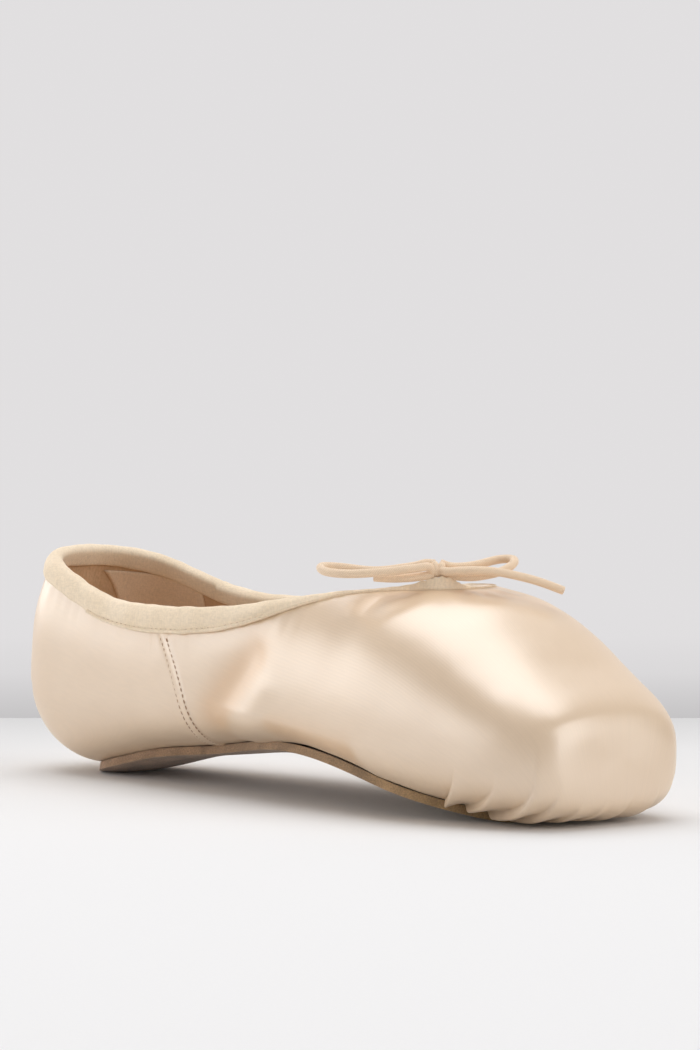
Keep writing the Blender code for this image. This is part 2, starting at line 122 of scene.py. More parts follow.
def smooth(stations, values):
    """A natural cubic curve through the values, as a function of the place."""
    x = np.asarray(stations, float)
    y = np.asarray(values, float)
    gap = np.diff(x)
    slope = np.diff(y) / gap
    matrix = np.eye(len(x))
    right = np.zeros(len(x))
    for i in range(1, len(x) - 1):
        matrix[i, i - 1:i + 2] = gap[i - 1], 2 * (gap[i - 1] + gap[i]), gap[i]
        right[i] = 6 * (slope[i] - slope[i - 1])
    bend = np.linalg.solve(matrix, right)

    def value(place):
        place = np.clip(np.asarray(place, float), x[0], x[-1])
        i = np.clip(np.searchsorted(x, place) - 1, 0, len(x) - 2)
        before = place - x[i]
        after = x[i + 1] - place
        curve = (bend[i] * after ** 3 + bend[i + 1] * before ** 3) / (6 * gap[i])
        left = (y[i] / gap[i] - bend[i] * gap[i] / 6) * after
        return curve + left + (y[i + 1] / gap[i] - bend[i + 1] * gap[i] / 6) * before

    return value


def lay_cord(name, route):
    """A round cord along a smooth curve through the route: the piece, its length and its start."""
    points = np.array(route) / 1000 - ORIGIN
    run = np.concatenate([[0], np.cumsum(np.linalg.norm(np.diff(points, axis=0), axis=1))])
    places = np.linspace(0, run[-1], int(run[-1] / CORD_STEP) + 2)
    path = np.stack([smooth(run, points[:, axis])(places) for axis in range(3)], -1)
    curve = bpy.data.curves.new("cord_" + name, "CURVE")
    curve.dimensions = "3D"
    curve.bevel_depth = UNIT_BEVEL
    curve.bevel_resolution = 5
    curve.use_fill_caps = True
    line = curve.splines.new("POLY")
    line.points.add(len(path) - 1)
    for place, point in zip(path, line.points):
        point.co = (*place, 1.0)
        point.radius = CORD / 2
    line.use_smooth = True
    piece = bpy.data.objects.new("cord_" + name, curve)
    bpy.context.scene.collection.objects.link(piece)
    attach(piece, "root")
    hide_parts("drawstring_" + name)
    return piece, float(np.linalg.norm(np.diff(path, axis=0), axis=1).sum()), path[0]


cords = {name: lay_cord(name, route) for name, route in BOW_ROUTES.items()}
for name, (piece, length, start) in cords.items():
    print(name, round(length * 1000, 1), "mm")

# %% [markdown]
# The knot is the same cord wrapped round itself. A torus is a wrap already: its axis lies along the
# bow, so it stands upright between the loops, and a second one behind it crosses it at an angle.

# %% Tie the knot
KNOT_CENTRE = (0.1690, -0.0093, 0.0640)
BOW_LINE = Vector((0.666, 0.746, 0.0))
Wrap = namedtuple("Wrap", "shift lean major minor")
WRAPS = (
    Wrap(-0.00050, 0.22, 0.00125, 0.00100),
    Wrap(0.00085, -0.28, 0.00105, 0.00095),
)


def deselect():
    """Nothing is selected, so the next tool acts only on what it is given."""
    bpy.ops.object.select_all(action="DESELECT")


def claim(name, slot, *nodes):
    """Name the piece that was just made, and put it on the shoe in place of its solid."""
    piece = bpy.context.active_object
    piece.name = name
    piece.data.name = name
    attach(piece, "root")
    if nodes:
        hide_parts(*nodes)
    return piece


def join(pieces):
    """Make one object of the pieces, under the first one's name."""
    deselect()
    for piece in pieces:
        piece.select_set(True)
    bpy.context.view_layer.objects.active = pieces[0]
    bpy.ops.object.join()
    return bpy.context.active_object


def tie_knot():
    """The wraps of the knot, as one piece."""
    wraps = []
    for wrap in WRAPS:
        axis = (BOW_LINE + Vector((0, 0, wrap.lean))).normalized()
        place = Vector(KNOT_CENTRE) - Vector(ORIGIN) + BOW_LINE * wrap.shift
        deselect()
        bpy.ops.mesh.primitive_torus_add(
            location=place,
            rotation=axis.to_track_quat("Z", "Y").to_euler(),
            major_radius=wrap.major,
            minor_radius=wrap.minor,
            major_segments=48,
            minor_segments=24,
        )
        bpy.ops.object.transform_apply(location=True, rotation=True, scale=True)
        bpy.ops.object.shade_smooth()
        wraps.append(bpy.context.active_object)
    join(wraps)
    return claim("knot", "cord", "drawstring_knot")


knot = tie_knot()
for name, kind, extras in (
    ("loop_left", "object", (cords["end_left"][0], knot)),
    ("loop_right", "object", ()),
    ("end_right", "bare", ()),
):
    piece, length, start = cords[name]
print("knot", len(knot.data.vertices), "vertices")

# %% [markdown]
# ## The last
# A last is the form a shoe is made on. Its cross sections run from heel to toe: each is a squared
# ellipse with its own width, height and squareness, and smooth curves lead from one section to the
# next. The rounding of the heel and of the toe is added as a term that grows near each end, so one
# number tells whether a point lies inside the last or outside it.

# %% Shape the last
Section = namedtuple("Section", "at half_width widest under crown over_curve under_curve")
SECTIONS = (
    Section(0.00, 0.640, 0.442, 0.144, 1.248, 2.40, 1.90),
    Section(0.12, 0.688, 0.432, 0.038, 1.256, 2.35, 2.60),
    Section(0.25, 0.742, 0.422, 0.125, 1.325, 2.20, 2.55),
    Section(0.38, 0.830, 0.456, 0.194, 1.344, 2.25, 2.60),
    Section(0.50, 0.862, 0.422, 0.234, 1.190, 2.30, 2.20),
    Section(0.62, 0.935, 0.378, 0.203, 1.066, 2.35, 2.05),
    Section(0.70, 0.980, 0.352, 0.140, 1.025, 2.50, 2.15),
    Section(0.76, 0.998, 0.338, 0.086, 0.999, 2.60, 2.25),
    Section(0.84, 0.944, 0.325, 0.043, 0.902, 2.55, 2.40),
    Section(0.92, 0.853, 0.305, 0.020, 0.695, 2.70, 2.60),
    Section(1.00, 0.740, 0.286, 0.012, 0.546, 3.00, 3.00),
)
Rim = namedtuple("Rim", "at height")
TOP_LINE = (
    Rim(0.00, 0.998),
    Rim(0.106, 0.904),
    Rim(0.212, 0.792),
    Rim(0.318, 0.766),
    Rim(0.424, 0.778),
    Rim(0.530, 0.817),
    Rim(0.635, 0.885),
    Rim(0.70, 0.906),
    Rim(0.76, 0.913),
)
Outline = namedtuple("Outline", "at half_width")
SOLE_OUTLINE = (
    Outline(0.10, 0.405),
    Outline(0.17, 0.390),
    Outline(0.25, 0.400),
    Outline(0.35, 0.380),
    Outline(0.47, 0.490),
    Outline(0.58, 0.620),
    Outline(0.68, 0.690),
    Outline(0.78, 0.700),
    Outline(0.90, 0.620),
)
HEEL_ROUNDING = 0.128 * LENGTH
HEEL_CURVE = 2.2
HEEL_SPINE = 0.17 * LENGTH
TOE_ROUNDING = 0.305 * LENGTH
TOE_CURVE = 10.0
TOE_SPINE = LENGTH - TOE_ROUNDING
PLATFORM_DOME = 0.0025
PLATFORM_EDGE = 0.0015


def column(rows, name, unit):
    """One column of a table as a smooth function of x, in metres."""
    places = [row.at * LENGTH for row in rows]
    return smooth(places, [getattr(row, name) * unit for row in rows])


half_width = column(SECTIONS, "half_width", BALL_WIDTH / 2)
widest = column(SECTIONS, "widest", INSTEP)
underside = column(SECTIONS, "under", INSTEP)
crown = column(SECTIONS, "crown", INSTEP)
over_curve = column(SECTIONS, "over_curve", 1.0)
under_curve = column(SECTIONS, "under_curve", 1.0)
top_line = column(TOP_LINE, "height", HEEL_HEIGHT)
sole_width = column(SOLE_OUTLINE, "half_width", BALL_WIDTH / 2)


def end_term(x):
    """How much the heel's and the toe's rounding take away from the section at x."""
    heel = np.clip((HEEL_ROUNDING - x) / HEEL_ROUNDING, 0, None) ** HEEL_CURVE
    toe = np.clip((x - TOE_SPINE) / (TOE_ROUNDING + PLATFORM_DOME), 0, None) ** TOE_CURVE
    return heel + toe


def upright_term(x, z):
    """How far up or down its section a place lies, as a power, and the section's squareness there."""
    middle = widest(x)
    over = z > middle
    power = np.where(over, over_curve(x), under_curve(x))
    reach = np.where(over, crown(x) - middle, middle - underside(x))
    return (np.abs(z - middle) / reach) ** power, power


def last(point):
    """1 on the outer face of the upper, less inside the last and more outside it."""
    x, y, z = point[..., 0], point[..., 1], point[..., 2]
    upright, power = upright_term(x, z)
    return (np.abs(y) / half_width(x)) ** power + upright + end_term(x)


def outward(point):
    """The direction straight out of the last's surface."""
    step = 0.00002
    parts = [last(point + axis) - last(point - axis) for axis in np.eye(3) * step]
    slope = np.stack(parts, -1)
    return slope / np.linalg.norm(slope, axis=-1, keepdims=True)


def soften_platform(points, end):
    """Points past the platform are brought back onto it, with a soft edge."""
    points = points.copy()
    ahead = (points[..., 0] - end) / PLATFORM_EDGE
    points[..., 0] -= PLATFORM_EDGE * np.logaddexp(0, ahead)
    return points


print("the last is", round(float(half_width(0.76 * LENGTH)) * 2000, 1), "mm wide at the ball")

# %% [markdown]
# Cloth runs over the last in ribs, like the ribs of a boat. Each rib starts from a place on the
# shoe's spine and leaves it along a bearing: straight out at the sides, and fanned round the heel
# and the toe. A point of a rib is found by looking out from the spine at a rising angle and halving
# the distance until it lies on the last.

# %% Cast points onto the last
def cast(spine, bearing, elevation):
    """The last's surface, seen from a place on its spine along a bearing and an elevation."""
    spine, bearing, elevation = np.broadcast_arrays(spine, bearing, elevation)
    start = np.stack([spine, np.zeros_like(spine), widest(spine)], -1)
    flat = np.cos(elevation)
    way = np.stack([flat * np.cos(bearing), flat * np.sin(bearing), np.sin(elevation)], -1)
    near = np.zeros_like(elevation)
    far = np.full_like(elevation, LENGTH)
    for _ in range(40):
        middle = (near + far) / 2
        outside = last(start + middle[..., None] * way) > 1
        far = np.where(outside, middle, far)
        near = np.where(outside, near, middle)
    return start + ((near + far) / 2)[..., None] * way


def find_elevation(spine, bearing, above, low, high):
    """The elevation, between low and high degrees, from which `above` is true of the surface."""
    low = np.full_like(spine, math.radians(low))
    high = np.full_like(spine, math.radians(high))
    for _ in range(32):
        middle = (low + high) / 2
        true = above(cast(spine, bearing, middle))
        high = np.where(true, middle, high)
        low = np.where(true, low, middle)
    return (low + high) / 2


SOLE_HEEL_END = 0.106 * LENGTH
SOLE_TOE_END = 0.900 * LENGTH
SOLE_HEEL_ROUND = 0.080 * LENGTH
SOLE_TOE_ROUND = 0.140 * LENGTH
HEM_LAP = 0.0062


def sole_half(x, inset=0.0):
    """Half the outsole's width at x, for its outline moved inward by inset."""
    width = sole_width(x) - inset
    heel_cap = (SOLE_HEEL_END + SOLE_HEEL_ROUND - x) / (SOLE_HEEL_ROUND - inset)
    toe_cap = (x - SOLE_TOE_END + SOLE_TOE_ROUND) / (SOLE_TOE_ROUND - inset)
    heel = np.clip(1 - np.clip(heel_cap, 0, None) ** 2, 0, None)
    toe = np.clip(1 - np.clip(toe_cap, 0, None) ** 2, 0, None)
    return width * np.sqrt(heel * toe)


def on_rim(point):
    """True where the surface is above the top line."""
    return point[..., 2] > top_line(point[..., 0])


def past_sole(point):
    """True where the underside is outside the outsole's outline."""
    return np.abs(point[..., 1]) >= sole_half(point[..., 0])


def past_hem(point):
    """True where the underside is outside the hole that the outsole covers."""
    return np.abs(point[..., 1]) >= sole_half(point[..., 0], HEM_LAP)


def side_point(x, z, side):
    """The point on one side of the last at a place seen from the side."""
    upright, power = upright_term(x, z)
    left = 1 - upright - end_term(x)
    y = side * half_width(x) * np.clip(left, 0, None) ** (1 / power)
    return np.stack(np.broadcast_arrays(x, y, z), -1)


def to_run(points):
    """The length run along each row of points, from its first one."""
    steps = np.linalg.norm(np.diff(points, axis=-2), axis=-1)
    return np.concatenate([np.zeros(steps.shape[:-1] + (1,)), np.cumsum(steps, axis=-1)], axis=-1)


def along(run, values, place):
    """The values, such as points or directions, at a place on the run."""
    return np.array([np.interp(place, run, values[:, axis]) for axis in range(3)])


def soft_step(share):
    """A share from 0 to 1 with a soft start and end."""
    return share * share * (3 - 2 * share)


probe = side_point(np.array(0.17), np.array(0.020), -1)
print("the ball's side is at y", round(float(probe[1]) * 1000, 1), "mm")

# %% [markdown]
# ## The satin upper
# The satin is stretched from the collar down to the sole, and the spare cloth round the toe is laid
# in pleats that run under the sole. Each pleat is a low wedge: it rises toward one edge and drops
# off sharply there. Ribs stand close together at every pleat's edge and at the side seam, so both
# come out crisp, and the fan of ribs turns a little on its way down, because the maker pulls the
# pleats to one side. The soft dents and ridges of worn satin are added as troughs.

# %% Space the ribs
Pleat = namedtuple("Pleat", "bearing height reach")
NEAR_PLEATS = (
    Pleat(3.0, 0.0006, 0.029),
    Pleat(9.5, 0.0010, 0.029),
    Pleat(16.2, 0.0019, 0.0310),
    Pleat(21.5, 0.0023, 0.0345),
    Pleat(28.8, 0.0020, 0.028),
    Pleat(38.0, 0.0024, 0.022),
)
FAR_PLEATS = (
    Pleat(4.8, 0.0009, 0.029),
    Pleat(12.0, 0.0012, 0.031),
    Pleat(18.5, 0.0018, 0.032),
    Pleat(25.0, 0.0020, 0.033),
    Pleat(31.5, 0.0018, 0.026),
    Pleat(38.5, 0.0020, 0.020),
)
EDGE_ROLL = (-1.2, -0.7, -0.35, -0.12, 0.12, 0.6)
SEAM_ZONE = (0.0725, 0.0935)
SEAM_STEP = 0.00060
SIDE_STEP = 0.0019
HEEL_STEP = 2.4
TOE_STEP = 1.5
BALL_STEP = 2.4


def toe_fan(pleats):
    """Bearings in degrees from straight ahead to the side, close together at each pleat's edge."""
    stops = [0.0]
    for pleat in pleats:
        for turn in EDGE_ROLL:
            stops.append(pleat.bearing + turn)
    bearings = [0.0]
    for low, high in zip(stops, stops[1:] + [90.0]):
        step = TOE_STEP if high < 60 else BALL_STEP
        count = max(1, round((high - low) / step))
        bearings += list(np.linspace(low, high, count + 1)[1:])
    return np.array(bearings)


def half_ribs(fan, zone, zone_step, side_step, heel_step):
    """One side's ribs from heel to toe: a place on the spine and a bearing for each."""
    heel = np.radians(np.linspace(180, 90, int(90 / heel_step) + 1))
    stops = (HEEL_SPINE, zone[0], zone[1], TOE_SPINE)
    side = []
    for low, high, step in zip(stops, stops[1:], (side_step, zone_step, side_step)):
        side += list(np.linspace(low, high, int((high - low) / step) + 2)[1:])
    turned = np.radians(fan[::-1][1:])
    spine = np.concatenate([np.full(len(heel), HEEL_SPINE), side, np.full(len(turned), TOE_SPINE)])
    bearing = np.concatenate([heel, np.full(len(side), math.pi / 2), turned])
    return spine, bearing


def ring_ribs(far_side, near_side):
    """The ribs all round, from the heel past the far side, the toe and the near side to the heel."""
    spine = np.concatenate([far_side[0], near_side[0][-2::-1]])
    bearing = np.concatenate([far_side[1], -near_side[1][-2::-1]])
    return spine, bearing


rib_spine, rib_bearing = ring_ribs(
    half_ribs(toe_fan(FAR_PLEATS), SEAM_ZONE, SEAM_STEP, SIDE_STEP, HEEL_STEP),
    half_ribs(toe_fan(NEAR_PLEATS), SEAM_ZONE, SEAM_STEP, SIDE_STEP, HEEL_STEP),
)
print(len(rib_spine), "ribs")

# %% Lay the rows of the satin
ROWS = 96
FINE_STEPS = 220
HEM_ZONE = 0.036
HEM_CROWDING = 2.2
TURN_START = 0.25
TURN_REACH = 0.55
Twist = namedtuple("Twist", "bearing turn")
TWISTS = (
    Twist(-90, 0.0),
    Twist(-50, 0.0),
    Twist(-34, -3.0),
    Twist(-14, -2.0),
    Twist(-6, 2.6),
    Twist(6, 3.0),
    Twist(32, 3.0),
    Twist(39, 0.8),
    Twist(50, 0.0),
    Twist(90, 0.0),
)


def pleat_twist(bearing):
    """How far in radians the ribs near the toe turn aside on their way down to the sole."""
    bearings = [row.bearing for row in TWISTS]
    return -np.radians(np.interp(-np.degrees(bearing), bearings, [row.turn for row in TWISTS]))


def lay_rows(spine, bearing, count, crowding):
    """Points from rim to hem on every rib, closer together near the hem."""
    top = find_elevation(spine, bearing, on_rim, 0.0, 89.9)
    hem = find_elevation(spine, bearing, past_hem, -89.9, 0.0)
    share = np.linspace(0, 1, FINE_STEPS)
    fine = top[:, None] + (hem - top)[:, None] * share
    run = to_run(cast(spine[:, None], bearing[:, None], fine))
    left = run[:, -1:] - run
    in_zone = np.clip(HEM_ZONE - left, 0, None)
    weight = run + crowding * (in_zone - in_zone[:, :1])
    rows = []
    for sums, elevations in zip(weight, fine):
        rows.append(np.interp(np.linspace(0, sums[-1], count), sums, elevations))
    elevation = np.array(rows)
    turned = np.clip((hem[:, None] * TURN_START - elevation) / (-TURN_REACH * hem[:, None]), 0, 1)
    twist = pleat_twist(bearing)[:, None] * soft_step(turned)
    return cast(spine[:, None], bearing[:, None] + twist, elevation)


satin_base = lay_rows(rib_spine, rib_bearing, ROWS, HEM_CROWDING)
satin_out = outward(satin_base)
print("satin grid", satin_base.shape[:2])

# %% Raise the pleats
PLEAT_START = 0.0006
PLEAT_RISE = 0.0030
Edge = namedtuple("Edge", "turn height")
PLEAT_PROFILE = (
    Edge(-1.20, 1.00),
    Edge(-0.70, 0.99),
    Edge(-0.35, 0.88),
    Edge(-0.12, 0.62),
    Edge(0.12, -0.10),
    Edge(0.60, 0.00),
)
PLEAT_TAPER = 0.50
RISE_CURVE = 0.6
WEDGE_CURVE = 1.3
RUFFLE_PITCH = 0.0034
RUFFLE_DRIFT = 0.0127
RUFFLE_HEIGHT = 0.00006
RUFFLE_REACH = 0.0045
TOE_ONLY = 0.150
TOE_BLEND = 0.02


def fold_shape(degrees, pleats):
    """For each rib the pleat it lies on: how high its wedge stands there, and how far it reaches."""
    height = np.zeros_like(degrees)
    reach = np.full_like(degrees, 0.01)
    start = 0.0
    for pleat in pleats:
        turns = [pleat.bearing + edge.turn for edge in PLEAT_PROFILE]
        rising = np.clip((degrees - start) / (turns[0] - start), 0, 1) ** WEDGE_CURVE
        inside = (degrees >= start) & (degrees <= turns[-1])
        rolled = np.interp(degrees, turns, [edge.height for edge in PLEAT_PROFILE])
        shape = pleat.height * np.where(degrees < turns[0], rising, rolled)
        height = np.where(inside, shape, height)
        reach = np.where(inside, pleat.reach, reach)
        start = turns[-1]
    return height, reach


def pleat_field(points, spine, bearing):
    """How far the pleats lift the satin at each point."""
    turned = bearing + pleat_twist(bearing)
    edge = cast(spine, turned, find_elevation(spine, turned, past_sole, -89.9, 0.0))
    beyond = np.linalg.norm(points - edge[:, None], axis=-1) * past_sole(points)
    degrees = np.degrees(bearing)
    near_height, near_reach = fold_shape(-degrees, NEAR_PLEATS)
    far_height, far_reach = fold_shape(degrees, FAR_PLEATS)
    height = np.where(bearing < 0, near_height, far_height)[:, None]
    reach = np.where(bearing < 0, near_reach, far_reach)[:, None]
    rise = np.clip((beyond - PLEAT_START) / PLEAT_RISE, 0, 1)
    fade = np.clip((1 - beyond / reach) / PLEAT_TAPER, 0, 1)
    around = 2 * np.pi * to_run(edge)[:, None]
    wave = np.sin(around / RUFFLE_PITCH + 1.6 * np.sin(around / RUFFLE_DRIFT))
    ruffle = RUFFLE_HEIGHT * wave * np.exp(-((beyond / RUFFLE_REACH) ** 2)) * (rise > 0)
    toe_only = np.clip((points[..., 0] - TOE_ONLY) / TOE_BLEND, 0, 1)
    return height * rise ** RISE_CURVE * soft_step(fade) + ruffle * toe_only


satin_lift = pleat_field(satin_base, rib_spine, rib_bearing)
print("pleats stand up to", round(float(satin_lift.max()) * 1000, 2), "mm out")

# %% [markdown]
# The side seam joins the front of the upper to the back. It runs from the collar down and forward
# to the sole as a raised band between two rows of stitches. The other marks on the satin are a soft
# dent and a ridge behind the ball, a long hollow above the sole, and small puckers below the casing.

# %% Mark the seam and the creases
SEAM_LINE = smooth(
    (0.008, 0.0114, 0.015, 0.0259, 0.0363, 0.0435, 0.052),
    (0.0840, 0.0862, 0.0900, 0.0907, 0.0856, 0.0804, 0.0730),
)
SEAM_BAND = 0.00135
SEAM_HEIGHT = 0.00055
Crease = namedtuple("Crease", "side height width route")
CREASES = (
    Crease(-1, -0.0017, 0.0058, ((120.5, 39.5), (112.5, 32.0), (103.5, 23.5))),
    Crease(-1, 0.0008, 0.0040, ((128.5, 31.0), (121.0, 22.5), (108.0, 15.0))),
    Crease(-1, -0.0009, 0.0042, ((128.0, 20.5), (144.5, 19.0), (162.5, 16.5))),
    Crease(-1, 0.00025, 0.0045, ((212.0, 34.0), (219.0, 25.5), (221.0, 18.0))),
    Crease(1, -0.0009, 0.0045, ((121.0, 38.0), (112.0, 29.0), (106.0, 21.0))),
    Crease(1, 0.0006, 0.0035, ((133.0, 40.0), (120.0, 28.0), (108.0, 15.0))),
    Crease(1, -0.0005, 0.0030, ((136.0, 22.0), (152.0, 20.0), (166.0, 18.0))),
)
PUCKER_PITCH = 0.0052
PUCKER_DEPTH = 0.00028
PUCKER_REACH = 0.0045
BINDING_EDGE = 0.0062


def seam_distance(points):
    """How far points lie from the side seam."""
    height = points[..., 2]
    slope = (SEAM_LINE(height + 0.0005) - SEAM_LINE(height - 0.0005)) / 0.001
    return (points[..., 0] - SEAM_LINE(height)) / np.sqrt(1 + slope * slope)


def route_distance(points, route):
    """How far points lie from a route, both as seen from the side."""
    flat = points[..., (0, 2)]
    nearest = np.full(flat.shape[:-1], np.inf)
    for start, end in zip(np.array(route) / 1000, np.array(route[1:]) / 1000):
        way = end - start
        share = np.clip(((flat - start) @ way) / (way @ way), 0, 1)
        gap = np.linalg.norm(flat - start - share[..., None] * way, axis=-1)
        nearest = np.minimum(nearest, gap)
    return nearest


def crease_field(points):
    """The seam's band and the listed creases, as a height for each point."""
    across = np.abs(seam_distance(points)) / SEAM_BAND
    height = SEAM_HEIGHT / (1 + across ** 8)
    for crease in CREASES:
        shape = np.exp(-((route_distance(points, crease.route) / crease.width) ** 2))
        height = height + crease.height * shape * (points[..., 1] * crease.side > 0)
    return height


def pucker_field(points):
    """Small puckers where the casing's stitches draw the satin in."""
    down = to_run(points)
    around = to_run(points[:, 0])[:, None]
    wave = 0.5 + 0.5 * np.sin(2 * np.pi * around / PUCKER_PITCH + 2 * np.sin(around / 0.0061))
    return -PUCKER_DEPTH * wave * np.exp(-(((down - BINDING_EDGE) / PUCKER_REACH) ** 2))


def unevenness(points):
    """The slight waviness that hand-pulled satin keeps."""
    x, y, z = (points[..., axis] / 0.01 for axis in range(3))
    first = np.sin(1.9 * x + 1.3 * z + 0.7 * y) * np.sin(1.1 * x - 1.7 * z + 0.4)
    second = np.sin(3.7 * x - 2.2 * z + 1.9) * np.sin(2.6 * z + 1.5 * y)
    return 0.00010 * first + 0.00004 * second


satin_lift = satin_lift + crease_field(satin_base) + pucker_field(satin_base) + unevenness(satin_base)
print("creases reach", round(float(satin_lift.min()) * 1000, 2), "mm in")

# %% Make the satin upper
FLOOR_GAP = 0.0003
SATIN_THICKNESS = 0.0009
CIRCLE_RADIUS = 0.060
THREAD_CENTRE = 0.030
THREAD_SLANT = 0.14
# How deep a crease must be for its painted shade to be full.
SHADE_FULL_DEPTH = 0.0013


def sheet_piece(name, slot, points, weave, *nodes):
    """A sheet through rows of points: a grid, with each corner moved to its place."""
    rows, columns = points.shape[:2]
    deselect()
    bpy.ops.mesh.primitive_grid_add(x_subdivisions=rows - 1, y_subdivisions=columns - 1, size=2)
    piece = claim(name, slot, *nodes)
    mesh = piece.data
    flat = np.empty(len(mesh.vertices) * 3)
    mesh.vertices.foreach_get("co", flat)
    flat = flat.reshape(-1, 3)
    i = np.rint((flat[:, 0] + 1) / 2 * (rows - 1)).astype(int)
    j = np.rint((flat[:, 1] + 1) / 2 * (columns - 1)).astype(int)
    mesh.vertices.foreach_set("co", (points[i, j] - ORIGIN).ravel())
    corners = np.empty(len(mesh.loops), dtype=np.int32)
    mesh.loops.foreach_get("vertex_index", corners)
    mesh.uv_layers.active.data.foreach_set("uv", weave[i, j][corners].ravel())
    mesh.update()
    return piece


def close_ring(piece):
    """Join a sheet's edges where they lie on each other, and turn its faces outward."""
    bpy.ops.object.mode_set(mode="EDIT")
    bpy.ops.mesh.select_all(action="SELECT")
    bpy.ops.mesh.remove_doubles(threshold=0.000001)
    bpy.ops.mesh.normals_make_consistent(inside=False)
    bpy.ops.object.mode_set(mode="OBJECT")
    return piece


def thicken(piece, thickness):
    """Give a sheet its thickness, behind the face it shows."""
    solidify = piece.modifiers.new("thickness", "SOLIDIFY")
    solidify.thickness = thickness
    solidify.offset = -1.0
    solidify.use_quality_normals = True
    bpy.context.view_layer.objects.active = piece
    bpy.ops.object.modifier_apply(modifier=solidify.name)
    bpy.ops.object.shade_smooth()
    return piece


def thread_places(points):
    """Where each point lies in the weave: across the threads, and along them, in metres."""
    x, y, z = points[..., 0], points[..., 1], points[..., 2]
    turn = np.unwrap(np.arctan2(z + THREAD_CENTRE, y), axis=0)
    return np.stack([turn * CIRCLE_RADIUS - THREAD_SLANT * x, x], -1)


def note_crease_shade(piece):
    """Note on every point how deep in a crease it lies, for the material to paint shade there."""
    flat = np.empty(len(piece.data.vertices) * 3)
    piece.data.vertices.foreach_get("co", flat)
    depth = np.clip(-crease_field(flat.reshape(-1, 3) + ORIGIN) / SHADE_FULL_DEPTH, 0, 1)
    note = piece.data.attributes.new("crease_shade", "FLOAT", "POINT")
    note.data.foreach_set("value", depth)


satin_face = soften_platform(satin_base + satin_out * satin_lift[..., None], LENGTH)
satin_face[..., 2] = np.maximum(satin_face[..., 2], FLOOR_GAP)
satin = sheet_piece("satin_upper", "satin", satin_face, thread_places(satin_base), "upper")
thicken(close_ring(satin), SATIN_THICKNESS)
note_crease_shade(satin)
print("satin", len(satin.data.polygons), "faces")

# %% [markdown]
# ## The lining
# Inside the satin is a canvas lining, a piece of its own, pasted to the wall. It thickens into the
# hard box from the ball forward. A bare patch of smooth cloth sits inside the far side of the heel.

# %% Line the upper
WALL = 0.0017
TOE_WALL = 0.0030
BOX_START = 0.70 * LENGTH
BOX_BLEND = 0.20 * LENGTH
LINING_THICKNESS = 0.0006
LINING_ROWS = 60
PATCH = ((0.0065, 0.0355), (0.0455, 0.0565))
PATCH_STEPS = (44, 18)
PATCH_GAP = 0.00030
PATCH_THICKNESS = 0.00025


def wall_at(x):
    """The wall's thickness: cloth at the side, and the hardened box from the ball forward."""
    share = np.clip((x - BOX_START) / BOX_BLEND, 0, 1)
    return WALL + (TOE_WALL - WALL) * soft_step(share)


def line_upper():
    """The lining, laid on the inner face of the wall."""
    plain = toe_fan(())
    side = half_ribs(plain, SEAM_ZONE, 0.0024, 0.0024, 3.0)
    spine, bearing = ring_ribs(side, side)
    base = lay_rows(spine, bearing, LINING_ROWS, 0.0)
    depth = wall_at(base[..., 0]) - LINING_THICKNESS - crease_field(base)
    face = soften_platform(base - outward(base) * depth[..., None], LENGTH - TOE_WALL + LINING_THICKNESS)
    lining = sheet_piece("lining", "satin", face, thread_places(base))
    return thicken(close_ring(lining), LINING_THICKNESS)


def lay_patch():
    """The bare patch on the lining."""
    x = np.linspace(*PATCH[0], PATCH_STEPS[0])[:, None]
    z = np.linspace(*PATCH[1], PATCH_STEPS[1])[None, :] - 0.10 * (x - PATCH[0][0])
    base = side_point(x, z, 1)
    face = base - outward(base) * (WALL + PATCH_GAP)
    patch = sheet_piece("heel_patch", "satin", face, np.stack([base[..., 2], base[..., 0]], -1))
    return thicken(patch, PATCH_THICKNESS)


lining = line_upper()
patch = lay_patch()
print("lining", len(lining.data.polygons), "faces, patch", len(patch.data.polygons))

# %% [markdown]
# ## The casing
# The collar's edge is bound with a soft cotton casing, folded over the rim and stitched down. It is
# one closed tube round the opening: a sheet whose rows are the casing's section on each rib. The
# section comes from a table, and it narrows to a thin roll at the throat, where the drawstring
# gathers it under the knot.

